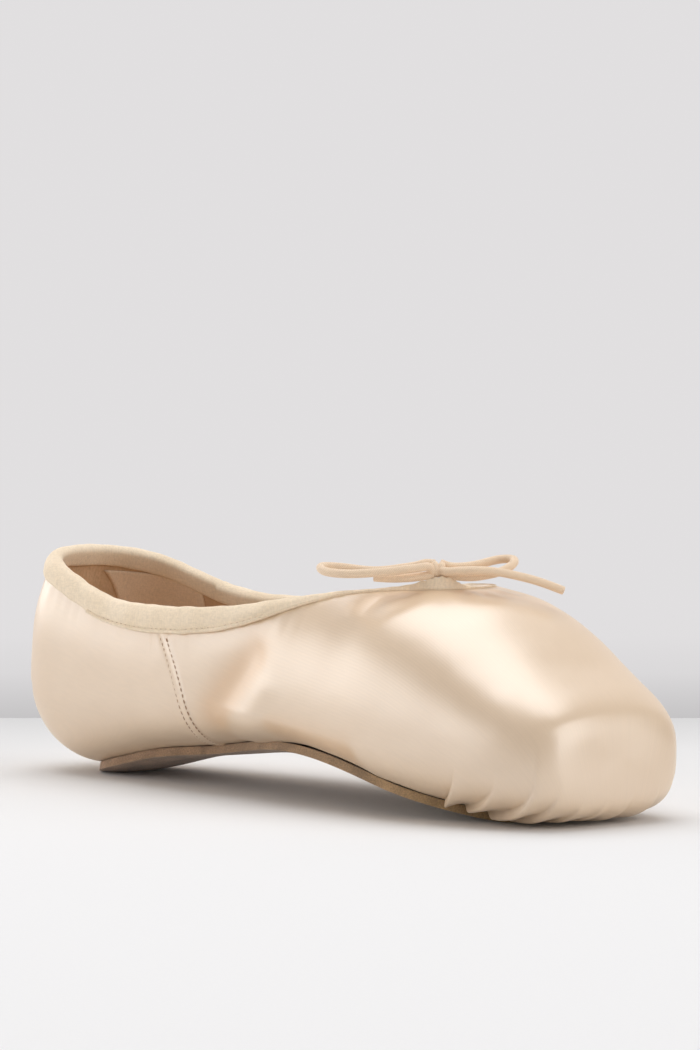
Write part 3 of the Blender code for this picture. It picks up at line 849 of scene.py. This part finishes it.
# %% Bind the collar
Leg = namedtuple("Leg", "at outside")
BINDING_LEG = (
    Leg(0.00, 0.0058),
    Leg(0.20, 0.0060),
    Leg(0.42, 0.0062),
    Leg(0.51, 0.0048),
    Leg(0.57, 0.0030),
    Leg(0.61, 0.0019),
    Leg(0.64, 0.0012),
    Leg(0.67, 0.0006),
    Leg(0.70, 0.0003),
    Leg(0.76, 0.0003),
)
BINDING_INSIDE = 0.0046
Fold = namedtuple("Fold", "leg lift side out groove lifted drawn", defaults=(0.0,) * 4)
CASING = (
    Fold(1.00, 0.0000, 1.0),
    Fold(1.00, 0.0000, 1.0, 0.00035),
    Fold(0.97, 0.0000, 1.0, 0.00058, -0.0001),
    Fold(0.91, 0.0000, 1.0, 0.00074, 0.0001),
    Fold(0.86, 0.0000, 1.0, 0.00080, 0.0003),
    Fold(0.82, 0.0000, 1.0, 0.00084, 0.0006),
    Fold(0.78, 0.0000, 1.0, 0.00090, 0.0004),
    Fold(0.70, 0.0000, 1.0, 0.00104, 0.0001),
    Fold(0.56, 0.0000, 1.0, 0.00122, 0.0000, 0.1),
    Fold(0.40, 0.0000, 1.0, 0.00130, 0.0000, 0.3),
    Fold(0.24, 0.0000, 1.0, 0.00124, 0.0000, 0.6),
    Fold(0.10, 0.0000, 1.0, 0.00108, 0.0000, 0.9),
    Fold(0.00, 0.0002, 1.0, 0.00090, 0.0000, 1.0),
    Fold(0.00, 0.0008, 1.0, 0.00052, 0.0000, 1.0, 0.1),
    Fold(0.00, 0.0012, 0.7, 0.00000, 0.0000, 1.0, 0.3),
    Fold(0.00, 0.0014, 0.0, 0.00000, 0.0000, 1.0, 0.7),
    Fold(0.00, 0.0012, -0.7, 0.00000, 0.0000, 1.0, 1.0),
    Fold(0.00, 0.0008, -1.0, 0.00040, 0.0000, 1.0, 1.0),
    Fold(0.00, 0.0002, -1.0, 0.00060, 0.0000, 1.0, 1.0),
    Fold(0.14, 0.0000, -1.0, 0.00066, 0.0000, 0.9, 0.9),
    Fold(0.40, 0.0000, -1.0, 0.00066, 0.0000, 0.4, 0.5),
    Fold(0.70, 0.0000, -1.0, 0.00060, 0.0000, 0.0, 0.1),
    Fold(0.90, 0.0000, -1.0, 0.00050),
    Fold(1.00, 0.0000, -1.0, 0.00030),
    Fold(1.00, 0.0000, -1.0),
    Fold(0.50, 0.0000, -1.0),
    Fold(0.00, 0.0003, -1.0, 0.00000, 0.0000, 0.2),
    Fold(0.00, 0.0003, 1.0, 0.00000, 0.0000, 0.2),
    Fold(0.50, 0.0000, 1.0),
)
CASING_GAP = 0.0003
FULL_LEG = 0.0042
STITCHED_LEG = 0.004
RIM_SWEEP = 0.55
RIM_STEPS = 90
JOIN_X = 0.0425
JOIN_STEP = 0.00050
BACK_SHARE = 0.93
FLAT_FOLD = 0.0004
SWELL = 0.025
GATHER_Y = -0.0098
GATHER_WIDTH = 0.0048
GATHER_RISE = 0.0031
GATHER_BACK = 0.0034
THROAT = 0.66 * LENGTH
RUFFLE_IN_GATHER = 0.00022


def binding_leg(x):
    """How far the casing comes down outside, which jumps a little at its join."""
    leg = column(BINDING_LEG, "outside", 1.0)(x)
    return leg * np.where(x < JOIN_X, BACK_SHARE, 1.0)


def rim_lines(spine, bearing):
    """For each rib: the points down from the rim, the ways out there and the length run."""
    top = find_elevation(spine, bearing, on_rim, 0.0, 89.9)
    fine = top[:, None] - np.linspace(0, RIM_SWEEP, RIM_STEPS)
    points = cast(spine[:, None], bearing[:, None], fine)
    return points, outward(points), to_run(points)


def casing_section(line, facing, run):
    """The casing's section on one rib."""
    up = (line[0] - line[1]) / np.linalg.norm(line[0] - line[1])
    leg_out = float(binding_leg(line[0, 0]))
    ahead = 1.0 if line[0, 0] > JOIN_X else 0.0
    full = min(1.0, leg_out / FULL_LEG)
    section = []
    for fold in CASING:
        leg = leg_out if fold.side > 0 else BINDING_INSIDE
        place = along(run, line, fold.leg * leg)
        way = along(run, facing, fold.leg * leg)
        wall = wall_at(place[0])
        groove = fold.groove * ahead * (leg > STITCHED_LEG)
        out = fold.out * full - groove + JOIN_STEP * ahead * (fold.out > FLAT_FOLD)
        side = fold.side * (wall / 2 + CASING_GAP * (2 * full - 1) + out)
        section.append(place + up * fold.lift * (1.25 * full - 0.25) + way * (side - wall / 2))
    return section


def casing_ribs():
    """The ribs of the casing: close together at its join and where it is gathered."""
    fan = np.concatenate([np.linspace(0, 40, 64), np.linspace(40, 90, 42)[1:]])
    side = half_ribs(fan, (JOIN_X - 0.0012, JOIN_X + 0.0012), 0.0002, 0.0011, 1.6)
    return ring_ribs(side, side)


def gather(rings):
    """Lift the casing under the knot, draw its inner side back, and ruffle it finely."""
    near = np.exp(-(((rings[..., 1] - GATHER_Y) / GATHER_WIDTH) ** 2)) * (rings[..., 0] > THROAT)
    lifted = np.array([fold.lifted for fold in CASING])
    drawn = np.array([fold.drawn for fold in CASING])
    wave = np.sin(rings[..., 1] / 0.00022 + 1.3 * np.sin(rings[..., 1] / 0.0009))
    rings = rings.copy()
    rings[..., 2] += (GATHER_RISE + RUFFLE_IN_GATHER * wave) * near * lifted
    rings[..., 0] -= GATHER_BACK * near * drawn
    return rings


def make_casing():
    """The whole casing, from a sheet whose rows and columns both close on themselves."""
    spine, bearing = casing_ribs()
    sections = [casing_section(*row) for row in zip(*rim_lines(spine, bearing))]
    rings = gather(np.array(sections))
    around = to_run(rings[:, 0])[:, None, None]
    swell = np.sin(around / 0.0031 + 1.7 * np.sin(around / 0.0093)) + 0.6 * np.sin(around / 0.0013)
    middle = rings.mean(axis=1, keepdims=True)
    rings = rings + (rings - middle) * SWELL * swell
    rings = np.concatenate([rings, rings[:, :1]], axis=1)
    weave = np.stack([to_run(rings), np.broadcast_to(around[..., 0], rings.shape[:2])], -1)
    casing = sheet_piece("casing", "binding", rings, weave, "collar_binding")
    close_ring(casing)
    bpy.ops.object.shade_smooth()
    return casing


casing = make_casing()
print("casing", len(casing.data.polygons), "faces")

# %% [markdown]
# ## The sole and the insole
# The outsole is a narrow piece of leather with a napped surface. It follows the last's underside,
# with a true arch between the heel and the ball, and it is flat only where the shoe stands. The
# insole is the board inside. Both are cut from the same plan: rows across the sole's outline.

# %% Cut the outsole and the insole
SOLE_THICKNESS = 0.0023
INSOLE_THICKNESS = 0.0022
INSOLE_CLEARANCE = 0.0005
INSOLE_MARGIN = 0.0020
CAP_ROWS = 30
SIDE_ROWS = 90
COLUMNS = 41
SOLE_BEVEL = 0.00045


def under_surface(x, y):
    """The point of the last's underside above a place in plan."""
    power = under_curve(x)
    left = 1 - (np.abs(y) / half_width(x)) ** power - end_term(x)
    middle = widest(x)
    z = middle - (middle - underside(x)) * np.clip(left, 0, None) ** (1 / power)
    return np.stack([x, y, z], -1)


def sole_plan(inset):
    """Rows and columns of places in plan that fill the sole's outline, moved in by inset."""
    heel_middle = SOLE_HEEL_END + SOLE_HEEL_ROUND
    toe_middle = SOLE_TOE_END - SOLE_TOE_ROUND
    turn = np.radians(np.linspace(87.5, 0, CAP_ROWS))
    heel = heel_middle - (SOLE_HEEL_ROUND - inset) * np.sin(turn)
    toe = toe_middle + (SOLE_TOE_ROUND - inset) * np.sin(turn[::-1])
    side = np.linspace(heel_middle, toe_middle, SIDE_ROWS)[1:-1]
    x = np.concatenate([heel, side, toe])
    across = np.sin(np.linspace(-math.pi / 2, math.pi / 2, COLUMNS))
    return np.broadcast_arrays(x[:, None], sole_half(x, inset)[:, None] * across)


def round_edges(piece, width):
    """Round the sharp edges of a cut piece."""
    bevel = piece.modifiers.new("edge", "BEVEL")
    bevel.width = width
    bevel.segments = 2
    bevel.limit_method = "ANGLE"
    bevel.angle_limit = math.radians(50)
    bpy.context.view_layer.objects.active = piece
    bpy.ops.object.modifier_apply(modifier=bevel.name)
    bpy.ops.object.shade_smooth()


def cut_outsole():
    """The leather sole: laid under the last, then pressed flat on the floor."""
    base = under_surface(*sole_plan(0.0))
    face = base + outward(base) * FLOOR_GAP
    sole = sheet_piece("leather_sole", "leather", face, base[..., :2], "outsole")
    thicken(sole, SOLE_THICKNESS)
    for vertex in sole.data.vertices:
        vertex.co.z = max(vertex.co.z, 0.0)
    round_edges(sole, SOLE_BEVEL)
    return sole


def cut_insole():
    """The insole's board, over the turned-in edge of the upper."""
    base = under_surface(*sole_plan(INSOLE_MARGIN))
    depth = wall_at(base[..., 0]) + INSOLE_CLEARANCE + INSOLE_THICKNESS
    face = base - outward(base) * depth[..., None]
    board = sheet_piece("insole_board", "board", face, base[..., :2], "insole")
    thicken(board, INSOLE_THICKNESS)
    round_edges(board, SOLE_BEVEL)
    return board


leather_sole = cut_outsole()
insole_board = cut_insole()
print("sole", len(leather_sole.data.polygons), "faces, insole", len(insole_board.data.polygons))

# %% [markdown]
# ## The stitches
# A stitch is a short piece of thread that dips into the cloth at both ends. One is modelled, as a
# sphere drawn out to a capsule, and copied along each row. One row holds the casing down, forward
# of its join, and two rows run beside each side seam.

# %% Sew the stitches
THREAD = 0.00040
LOOK_AHEAD = 0.0002
STITCH_OUT = 0.00062
CASING_STITCH = 0.0013
CASING_PITCH = 0.0023
CASING_ROW = 0.82
SEAM_STITCH = 0.0012
SEAM_PITCH = 0.0017
SEAM_ROW = 0.00140
SEAM_TOP = 0.0425
SEAM_BOTTOM = 0.0126


def first_stitch():
    """One stitch along X, round and a little flat at its ends."""
    deselect()
    bpy.ops.mesh.primitive_uv_sphere_add(segments=10, ring_count=8, radius=0.5)
    piece = bpy.context.active_object
    bpy.ops.object.mode_set(mode="EDIT")
    bpy.ops.mesh.select_all(action="SELECT")
    bpy.ops.transform.rotate(value=math.pi / 2, orient_axis="Y", center_override=(0, 0, 0))
    bpy.ops.object.mode_set(mode="OBJECT")
    bpy.ops.object.shade_smooth()
    return piece


def sew(name, places, facings, length, pattern):
    """A row of stitches along the places, with the way out of the cloth at each."""
    run = to_run(places)
    starts = np.arange(length, run[-1] - length, pattern)
    stitch = first_stitch()
    row = []
    for start in starts:
        here = Vector(along(run, places, start))
        out = Vector(along(run, facings, start)).normalized()
        ahead = Vector(along(run, places, start + LOOK_AHEAD)) - here
        way = (ahead - out * ahead.dot(out)).normalized()
        turned = Matrix((way, out.cross(way), out)).transposed().to_4x4()
        size = Matrix.Diagonal((length, THREAD, THREAD, 1.0))
        piece = stitch.copy()
        piece.data = stitch.data.copy()
        piece.data.transform(Matrix.Translation(here - Vector(ORIGIN)) @ turned @ size)
        bpy.context.scene.collection.objects.link(piece)
        row.append(piece)
    bpy.data.objects.remove(stitch)
    join(row)
    return claim(name, "binding")


def casing_row():
    """Places of the stitches that hold the casing down, from the join forward and round."""
    spine, bearing = casing_ribs()
    points, facings, run = rim_lines(spine, bearing)
    places, ways = [], []
    for line, facing, length in zip(points, facings, run):
        leg = float(binding_leg(line[0, 0]))
        if line[0, 0] < JOIN_X + 0.001 or leg < STITCHED_LEG:
            continue
        way = along(length, facing, CASING_ROW * leg)
        places.append(along(length, line, CASING_ROW * leg) + way * (CASING_GAP + STITCH_OUT))
        ways.append(way)
    return np.array(places), np.array(ways)


def seam_row(side, shift):
    """Places of one row of stitches beside the side seam."""
    z = np.linspace(SEAM_TOP, SEAM_BOTTOM, 120)
    x = SEAM_LINE(z) + shift
    places = side_point(x, z, side)
    ways = outward(places)
    return places + ways * (SEAM_HEIGHT * 0.5), ways


rows = []
places, ways = casing_row()
for side, name in ((-1, "near"), (1, "far")):
    on_side = np.flatnonzero(places[:, 1] * side > 0)
    order = on_side[np.argsort(places[on_side, 0])]
    piece_name = "casing_stitches_" + name
    rows.append(sew(piece_name, places[order], ways[order], CASING_STITCH, CASING_PITCH))
    for shift, row in ((-SEAM_ROW, "back"), (SEAM_ROW, "front")):
        piece_name = "seam_stitches_" + name + "_" + row
        rows.append(sew(piece_name, *seam_row(side, shift), SEAM_STITCH, SEAM_PITCH))
print(len(rows), "rows of stitches")

# %% [markdown]
# ## The materials
# Satin is a weave of long floating threads, so it is smooth along them and faintly ribbed across.
# Its light runs in bands, which the shader's anisotropy gives, and its pile of threads is a fine
# noise drawn out along the shoe. The cotton casing is a soft matt weave, the cord a knitted elastic,
# the lining a coarse canvas and the sole a napped leather.

# %% Tools for the materials
NOISE_LOW = 0.3
NOISE_HIGH = 0.7


def add(tree, kind, inputs, **settings):
    """A node of the tree, with its settings, and with each input set or joined."""
    node = tree.nodes.new("ShaderNode" + kind)
    for name, value in settings.items():
        setattr(node, name, value)
    for name, value in inputs.items():
        if isinstance(value, bpy.types.NodeSocket):
            tree.links.new(value, node.inputs[name])
        else:
            node.inputs[name].default_value = value
    return node


def looks(name, roughness):
    """A new material: itself, its node tree, its shader and the places on the piece."""
    material = bpy.data.materials.new(name)
    material.use_nodes = True
    shader = material.node_tree.nodes["Principled BSDF"]
    shader.inputs["Roughness"].default_value = roughness
    places = add(material.node_tree, "TexCoord", {}).outputs["Object"]
    return material, material.node_tree, shader, places


def noise(tree, places, scale, detail, stretch=(1, 1, 1)):
    """Noise from 0 to 1 at the places, drawn out by a stretch."""
    moved = add(tree, "Mapping", {"Vector": places, "Scale": stretch})
    inputs = {"Vector": moved.outputs["Vector"], "Scale": scale, "Detail": detail}
    return add(tree, "TexNoise", inputs).outputs["Fac"]


def between(tree, value, low, high, out_low, out_high):
    """A value's range mapped to another range."""
    inputs = {"Value": value, "From Min": low, "From Max": high, "To Min": out_low, "To Max": out_high}
    return add(tree, "MapRange", inputs).outputs["Result"]


def spread(tree, value, low, high):
    """The middle of a noise's range, where it lies most, spread out from low to high."""
    return between(tree, value, NOISE_LOW, NOISE_HIGH, low, high)


def tones(tree, value, colours):
    """A colour that runs through the colours as the value goes from 0 to 1."""
    node = add(tree, "ValToRGB", {"Fac": value})
    ramp = node.color_ramp
    while len(ramp.elements) < len(colours):
        ramp.elements.new(0.5)
    for element, place, colour in zip(ramp.elements, np.linspace(0, 1, len(colours)), colours):
        element.position = float(place)
        element.color = (*colour, 1)
    return node.outputs["Color"]


def shaded(tree, colour, value):
    """A colour made lighter or darker by a value near 1."""
    return add(tree, "HueSaturation", {"Color": colour, "Value": value}).outputs["Color"]


def raised(tree, height, strength, distance):
    """The surface's normal with fine relief."""
    inputs = {"Height": height, "Strength": strength, "Distance": distance}
    return add(tree, "Bump", inputs).outputs["Normal"]


def joined(tree, shader, **inputs):
    """Join outputs to the shader's inputs, or set them, by name with _ for a space."""
    for name, value in inputs.items():
        socket = shader.inputs[name.replace("_", " ")]
        if isinstance(value, bpy.types.NodeSocket):
            tree.links.new(value, socket)
        else:
            socket.default_value = value


print("the tools for the materials are ready")

# %% Weave the satin and the cotton
SATIN_TONES = ((0.745, 0.550, 0.360), (0.765, 0.570, 0.378), (0.785, 0.590, 0.396))
# The warm dark tone of the painted shade in the creases.
CREASE_SHADE_TONE = (0.74, 0.47, 0.24)
RIB_PITCH = 0.00050


def satin_material():
    """Satin: long threads along the shoe, on the sheet's own places in the weave."""
    material, tree, shader, places = looks("satin", 0.38)
    weave = add(tree, "UVMap", {}, uv_map="UVMap").outputs["UV"]
    wave = {"Vector": weave, "Scale": math.pi / 10 / RIB_PITCH, "Distortion": 0.6, "Detail": 1.0}
    band = add(tree, "TexWave", wave, bands_direction="X").outputs["Fac"]
    axis = add(tree, "SeparateXYZ", {"Vector": places}).outputs
    stretched = between(tree, axis["X"], -0.01, 0.03, 0.0, 1.0)
    stretched = between(tree, axis["Z"], 0.018, 0.034, 0.0, stretched)
    rib = between(tree, stretched, 0.0, 1.0, 0.5, band)
    thread = noise(tree, weave, 1.0, 2.0, (2600.0, 160.0, 1.0))
    cloud = noise(tree, places, 38.0, 3.0)
    tone = tones(tree, spread(tree, cloud, 0.0, 1.0), SATIN_TONES)
    # Painted shade: the creases turn warmer and darker as deep as each point lies in them.
    crease_shade = add(tree, "Attribute", {}, attribute_name="crease_shade").outputs["Fac"]
    crease_shaded = add(tree, "Mix", {0: crease_shade, 6: tone, 7: (*CREASE_SHADE_TONE, 1)}, data_type="RGBA").outputs[2]
    ribbed = shaded(tree, crease_shaded, between(tree, rib, 0.0, 1.0, 0.98, 1.015))
    joined(
        tree, shader,
        Base_Color=shaded(tree, ribbed, spread(tree, thread, 0.98, 1.02)),
        Roughness=spread(tree, thread, 0.30, 0.36),
        Normal=raised(tree, rib, 0.25, 0.00003),
        Tangent=add(tree, "Tangent", {}, direction_type="UV_MAP", uv_map="UVMap").outputs["Tangent"],
        Anisotropic=0.4, Sheen_Weight=0.08, Sheen_Roughness=0.4, IOR=2.1, Specular_IOR_Level=0.85,
    )
    return material


def cotton_material(name, colours, scale, depth):
    """Plain cotton: two sets of threads that cross, and a soft uneven tone."""
    material, tree, shader, places = looks(name, 0.85)
    warp = noise(tree, places, 1.0, 1.0, (scale, scale, scale * 0.25))
    weft = noise(tree, places, 1.0, 1.0, (scale * 0.25, scale, scale))
    both = add(tree, "Math", {0: warp, 1: weft}, operation="ADD").outputs["Value"]
    cloud = noise(tree, places, 90.0, 3.0)
    tone = tones(tree, spread(tree, cloud, 0.0, 1.0), colours)
    joined(
        tree, shader,
        Base_Color=shaded(tree, tone, between(tree, both, 0.7, 1.3, 0.93, 1.07)),
        Normal=raised(tree, both, 0.6, depth),
        Sheen_Weight=0.15, Sheen_Roughness=0.6, Specular_IOR_Level=0.25,
    )
    return material


Cotton = namedtuple("Cotton", "name colours scale depth")
COTTONS = (
    Cotton("casing", ((0.84, 0.69, 0.50), (0.91, 0.765, 0.58)), 2100.0, 0.00006),
    Cotton("lining", ((0.56, 0.36, 0.205), (0.70, 0.48, 0.295)), 1300.0, 0.00014),
    Cotton("patch", ((0.83, 0.64, 0.45), (0.88, 0.70, 0.52)), 2600.0, 0.00005),
    Cotton("board", ((0.50, 0.36, 0.24), (0.60, 0.45, 0.31)), 1500.0, 0.00008),
    Cotton("thread", ((0.42, 0.27, 0.18), (0.56, 0.38, 0.26)), 4000.0, 0.00004),
)
cloth = {"satin": satin_material()}
for cotton in COTTONS:
    cloth[cotton.name] = cotton_material(*cotton)
print("cloth", list(cloth))

# %% Knit the cord and tan the leather
def cord_material():
    """Elastic cord: a fine knit in small slanting ribs."""
    material, tree, shader, places = looks("cord", 0.7)
    inputs = {"Vector": places, "Scale": 950.0, "Distortion": 2.5, "Detail": 1.0}
    knit = add(tree, "TexWave", inputs, bands_direction="DIAGONAL").outputs["Fac"]
    fuzz = noise(tree, places, 3000.0, 1.0)
    tone = tones(tree, knit, ((0.80, 0.60, 0.41), (0.90, 0.71, 0.52)))
    joined(
        tree, shader,
        Base_Color=shaded(tree, tone, spread(tree, fuzz, 0.94, 1.05)),
        Normal=raised(tree, knit, 0.5, 0.00008),
        Sheen_Weight=0.25, Sheen_Roughness=0.5,
    )
    return material


def leather_material():
    """Napped leather: pinkish brown at the heel, a speckled mustard brown forward."""
    material, tree, shader, places = looks("leather", 0.9)
    along = add(tree, "SeparateXYZ", {"Vector": places}).outputs["X"]
    nap = noise(tree, places, 2600.0, 4.0)
    blotch = noise(tree, places, 160.0, 4.0)
    place = between(tree, along, -0.07, 0.09, 0.0, 1.0)
    base = tones(tree, place, ((0.34, 0.21, 0.125), (0.31, 0.195, 0.105), (0.31, 0.205, 0.100)))
    worn = shaded(tree, base, spread(tree, blotch, 0.75, 1.3))
    joined(
        tree, shader,
        Base_Color=shaded(tree, worn, spread(tree, nap, 0.7, 1.35)),
        Normal=raised(tree, nap, 0.8, 0.00018),
        Sheen_Weight=0.3, Sheen_Roughness=0.6, Specular_IOR_Level=0.2,
    )
    return material


def dress(piece, material):
    """Give a piece its one material."""
    piece.data.materials.clear()
    piece.data.materials.append(material)


cord_look = cord_material()
leather_look = leather_material()
for piece in [knot] + [row[0] for row in cords.values()]:
    dress(piece, cord_look)
for piece, look in (
    (satin, cloth["satin"]),
    (lining, cloth["lining"]),
    (patch, cloth["patch"]),
    (casing, cloth["casing"]),
    (leather_sole, leather_look),
    (insole_board, cloth["board"]),
):
    dress(piece, look)
for piece in rows:
    dress(piece, cloth["thread"])
print("every piece has its material")

# %% [markdown]
# ## The floor and the light
# The shoe stands on pale paper under soft light. Behind it the paper ends in a soft horizon, and an
# even grey wall stands far away. One large softbox hangs over the shoe, which gives the satin its
# long highlight, a wide one stands low on the left, which keeps the side of the shoe clear, and one
# in front lights the toe.

# %% Lay the floor
FLOOR_SIZE = 40.0
AWAY = (-0.746, 0.666, 0.0)
HORIZON = 0.226
WALL_START = 0.76
WALL_DISTANCE = 14.0
WALL_SIZE = 26.0
WORLD_STRENGTH = 0.50
# Painted shade: the paper grows darker toward the horizon.
PAPER_FALLOFF_TONES = ((0.81, 0.813, 0.818), (0.79, 0.793, 0.798), (0.74, 0.743, 0.747), (0.61, 0.613, 0.616))
# The backdrop's glow, with painted shade that darkens it near the horizon; its last tone is the even
# grey of the wall and the world.
BACKDROP_GLOW_TONES = ((0.560, 0.549, 0.554), (0.705, 0.691, 0.698), (0.750, 0.735, 0.742), (0.755, 0.740, 0.747))


def paper_material():
    """Pale paper under the shoe, with painted shade that darkens it toward a soft horizon; the ground
    behind it only glows, with painted shade near the horizon.
    """
    material, tree, shader, places = looks("paper", 0.75)
    behind = add(tree, "VectorMath", {0: places, 1: AWAY}, operation="DOT_PRODUCT").outputs["Value"]
    grain = noise(tree, places, 900.0, 2.0)
    # Painted shade: the paper is darker the farther it lies behind the shoe.
    near = tones(tree, between(tree, behind, -0.10, HORIZON, 0.0, 1.0), PAPER_FALLOFF_TONES)
    past = between(tree, behind, HORIZON, HORIZON + 0.002, 0.0, 1.0)
    paper = shaded(tree, near, spread(tree, grain, 0.995, 1.005))
    unlit = add(tree, "Mix", {0: past, 6: paper, 7: (0, 0, 0, 1)}, data_type="RGBA").outputs[2]
    # The ground past the horizon glows, with painted shade near the horizon.
    far = tones(tree, between(tree, behind, HORIZON, WALL_START, 0.0, 1.0), BACKDROP_GLOW_TONES)
    lit = {"Base_Color": unlit, "Emission_Color": far, "Emission_Strength": past}
    joined(tree, shader, Specular_IOR_Level=0.0, **lit)
    return material


def wall_material():
    """A far wall of one even grey."""
    material, tree, shader, places = looks("wall", 1.0)
    even = spread(tree, noise(tree, places, 0.4, 1.0), 0.999, 1.001)
    tone = shaded(tree, tones(tree, even, (BACKDROP_GLOW_TONES[-1], BACKDROP_GLOW_TONES[-1])), even)
    lit = {"Base_Color": (0, 0, 0, 1), "Emission_Color": tone, "Emission_Strength": 1.0}
    joined(tree, shader, Specular_IOR_Level=0.0, **lit)
    return material


def stage_plane(name, material, size, place=(0, 0, 0), turn=(0, 0, 0)):
    """A plane that belongs to the studio."""
    deselect()
    bpy.ops.mesh.primitive_plane_add(size=size, location=place, rotation=turn)
    plane = bpy.context.active_object
    plane.name = name
    dress(plane, material)
    return plane


stage_plane("floor", paper_material(), FLOOR_SIZE)
wall_turn = (math.pi / 2, 0.0, math.atan2(AWAY[1], AWAY[0]) - math.pi / 2)
stage_plane("wall", wall_material(), WALL_SIZE, Vector(AWAY) * WALL_DISTANCE, wall_turn)

world = bpy.data.worlds.new("studio")
world.use_nodes = True
world.node_tree.nodes["Background"].inputs["Color"].default_value = (*BACKDROP_GLOW_TONES[-1], 1)
world.node_tree.nodes["Background"].inputs["Strength"].default_value = WORLD_STRENGTH
bpy.context.scene.world = world
bpy.context.scene.view_settings.view_transform = "Standard"
print("the floor is", FLOOR_SIZE, "m across")

# %% Hang the lights
Light = namedtuple("Light", "name place aim width height power colour")
LIGHTS = (
    Light("overhead", (-0.63, 0.33, 2.90), (0.05, -0.01, 0.04), 3.0, 3.0, 64.0, (1.0, 0.99, 0.985)),
    Light("side", (-1.50, -0.95, 0.50), (0.0, 0.0, 0.05), 4.2, 0.8, 18.5, (1.0, 0.985, 0.97)),
    Light("front", (2.6, 0.9, 1.2), (0.1, 0.0, 0.03), 2.6, 2.6, 33.0, (1.0, 0.985, 0.97)),
)


def hang(light):
    """A softbox at its place, turned toward its aim."""
    lamp = bpy.data.lights.new(light.name, "AREA")
    lamp.shape = "RECTANGLE"
    lamp.size = light.width
    lamp.size_y = light.height
    lamp.energy = light.power
    lamp.color = light.colour
    piece = bpy.data.objects.new(light.name, lamp)
    piece.location = light.place
    piece.rotation_euler = (Vector(light.aim) - Vector(light.place)).to_track_quat("-Z", "Y").to_euler()
    bpy.context.scene.collection.objects.link(piece)
    return piece


lamps = [hang(light) for light in LIGHTS]
print([lamp.name for lamp in lamps])
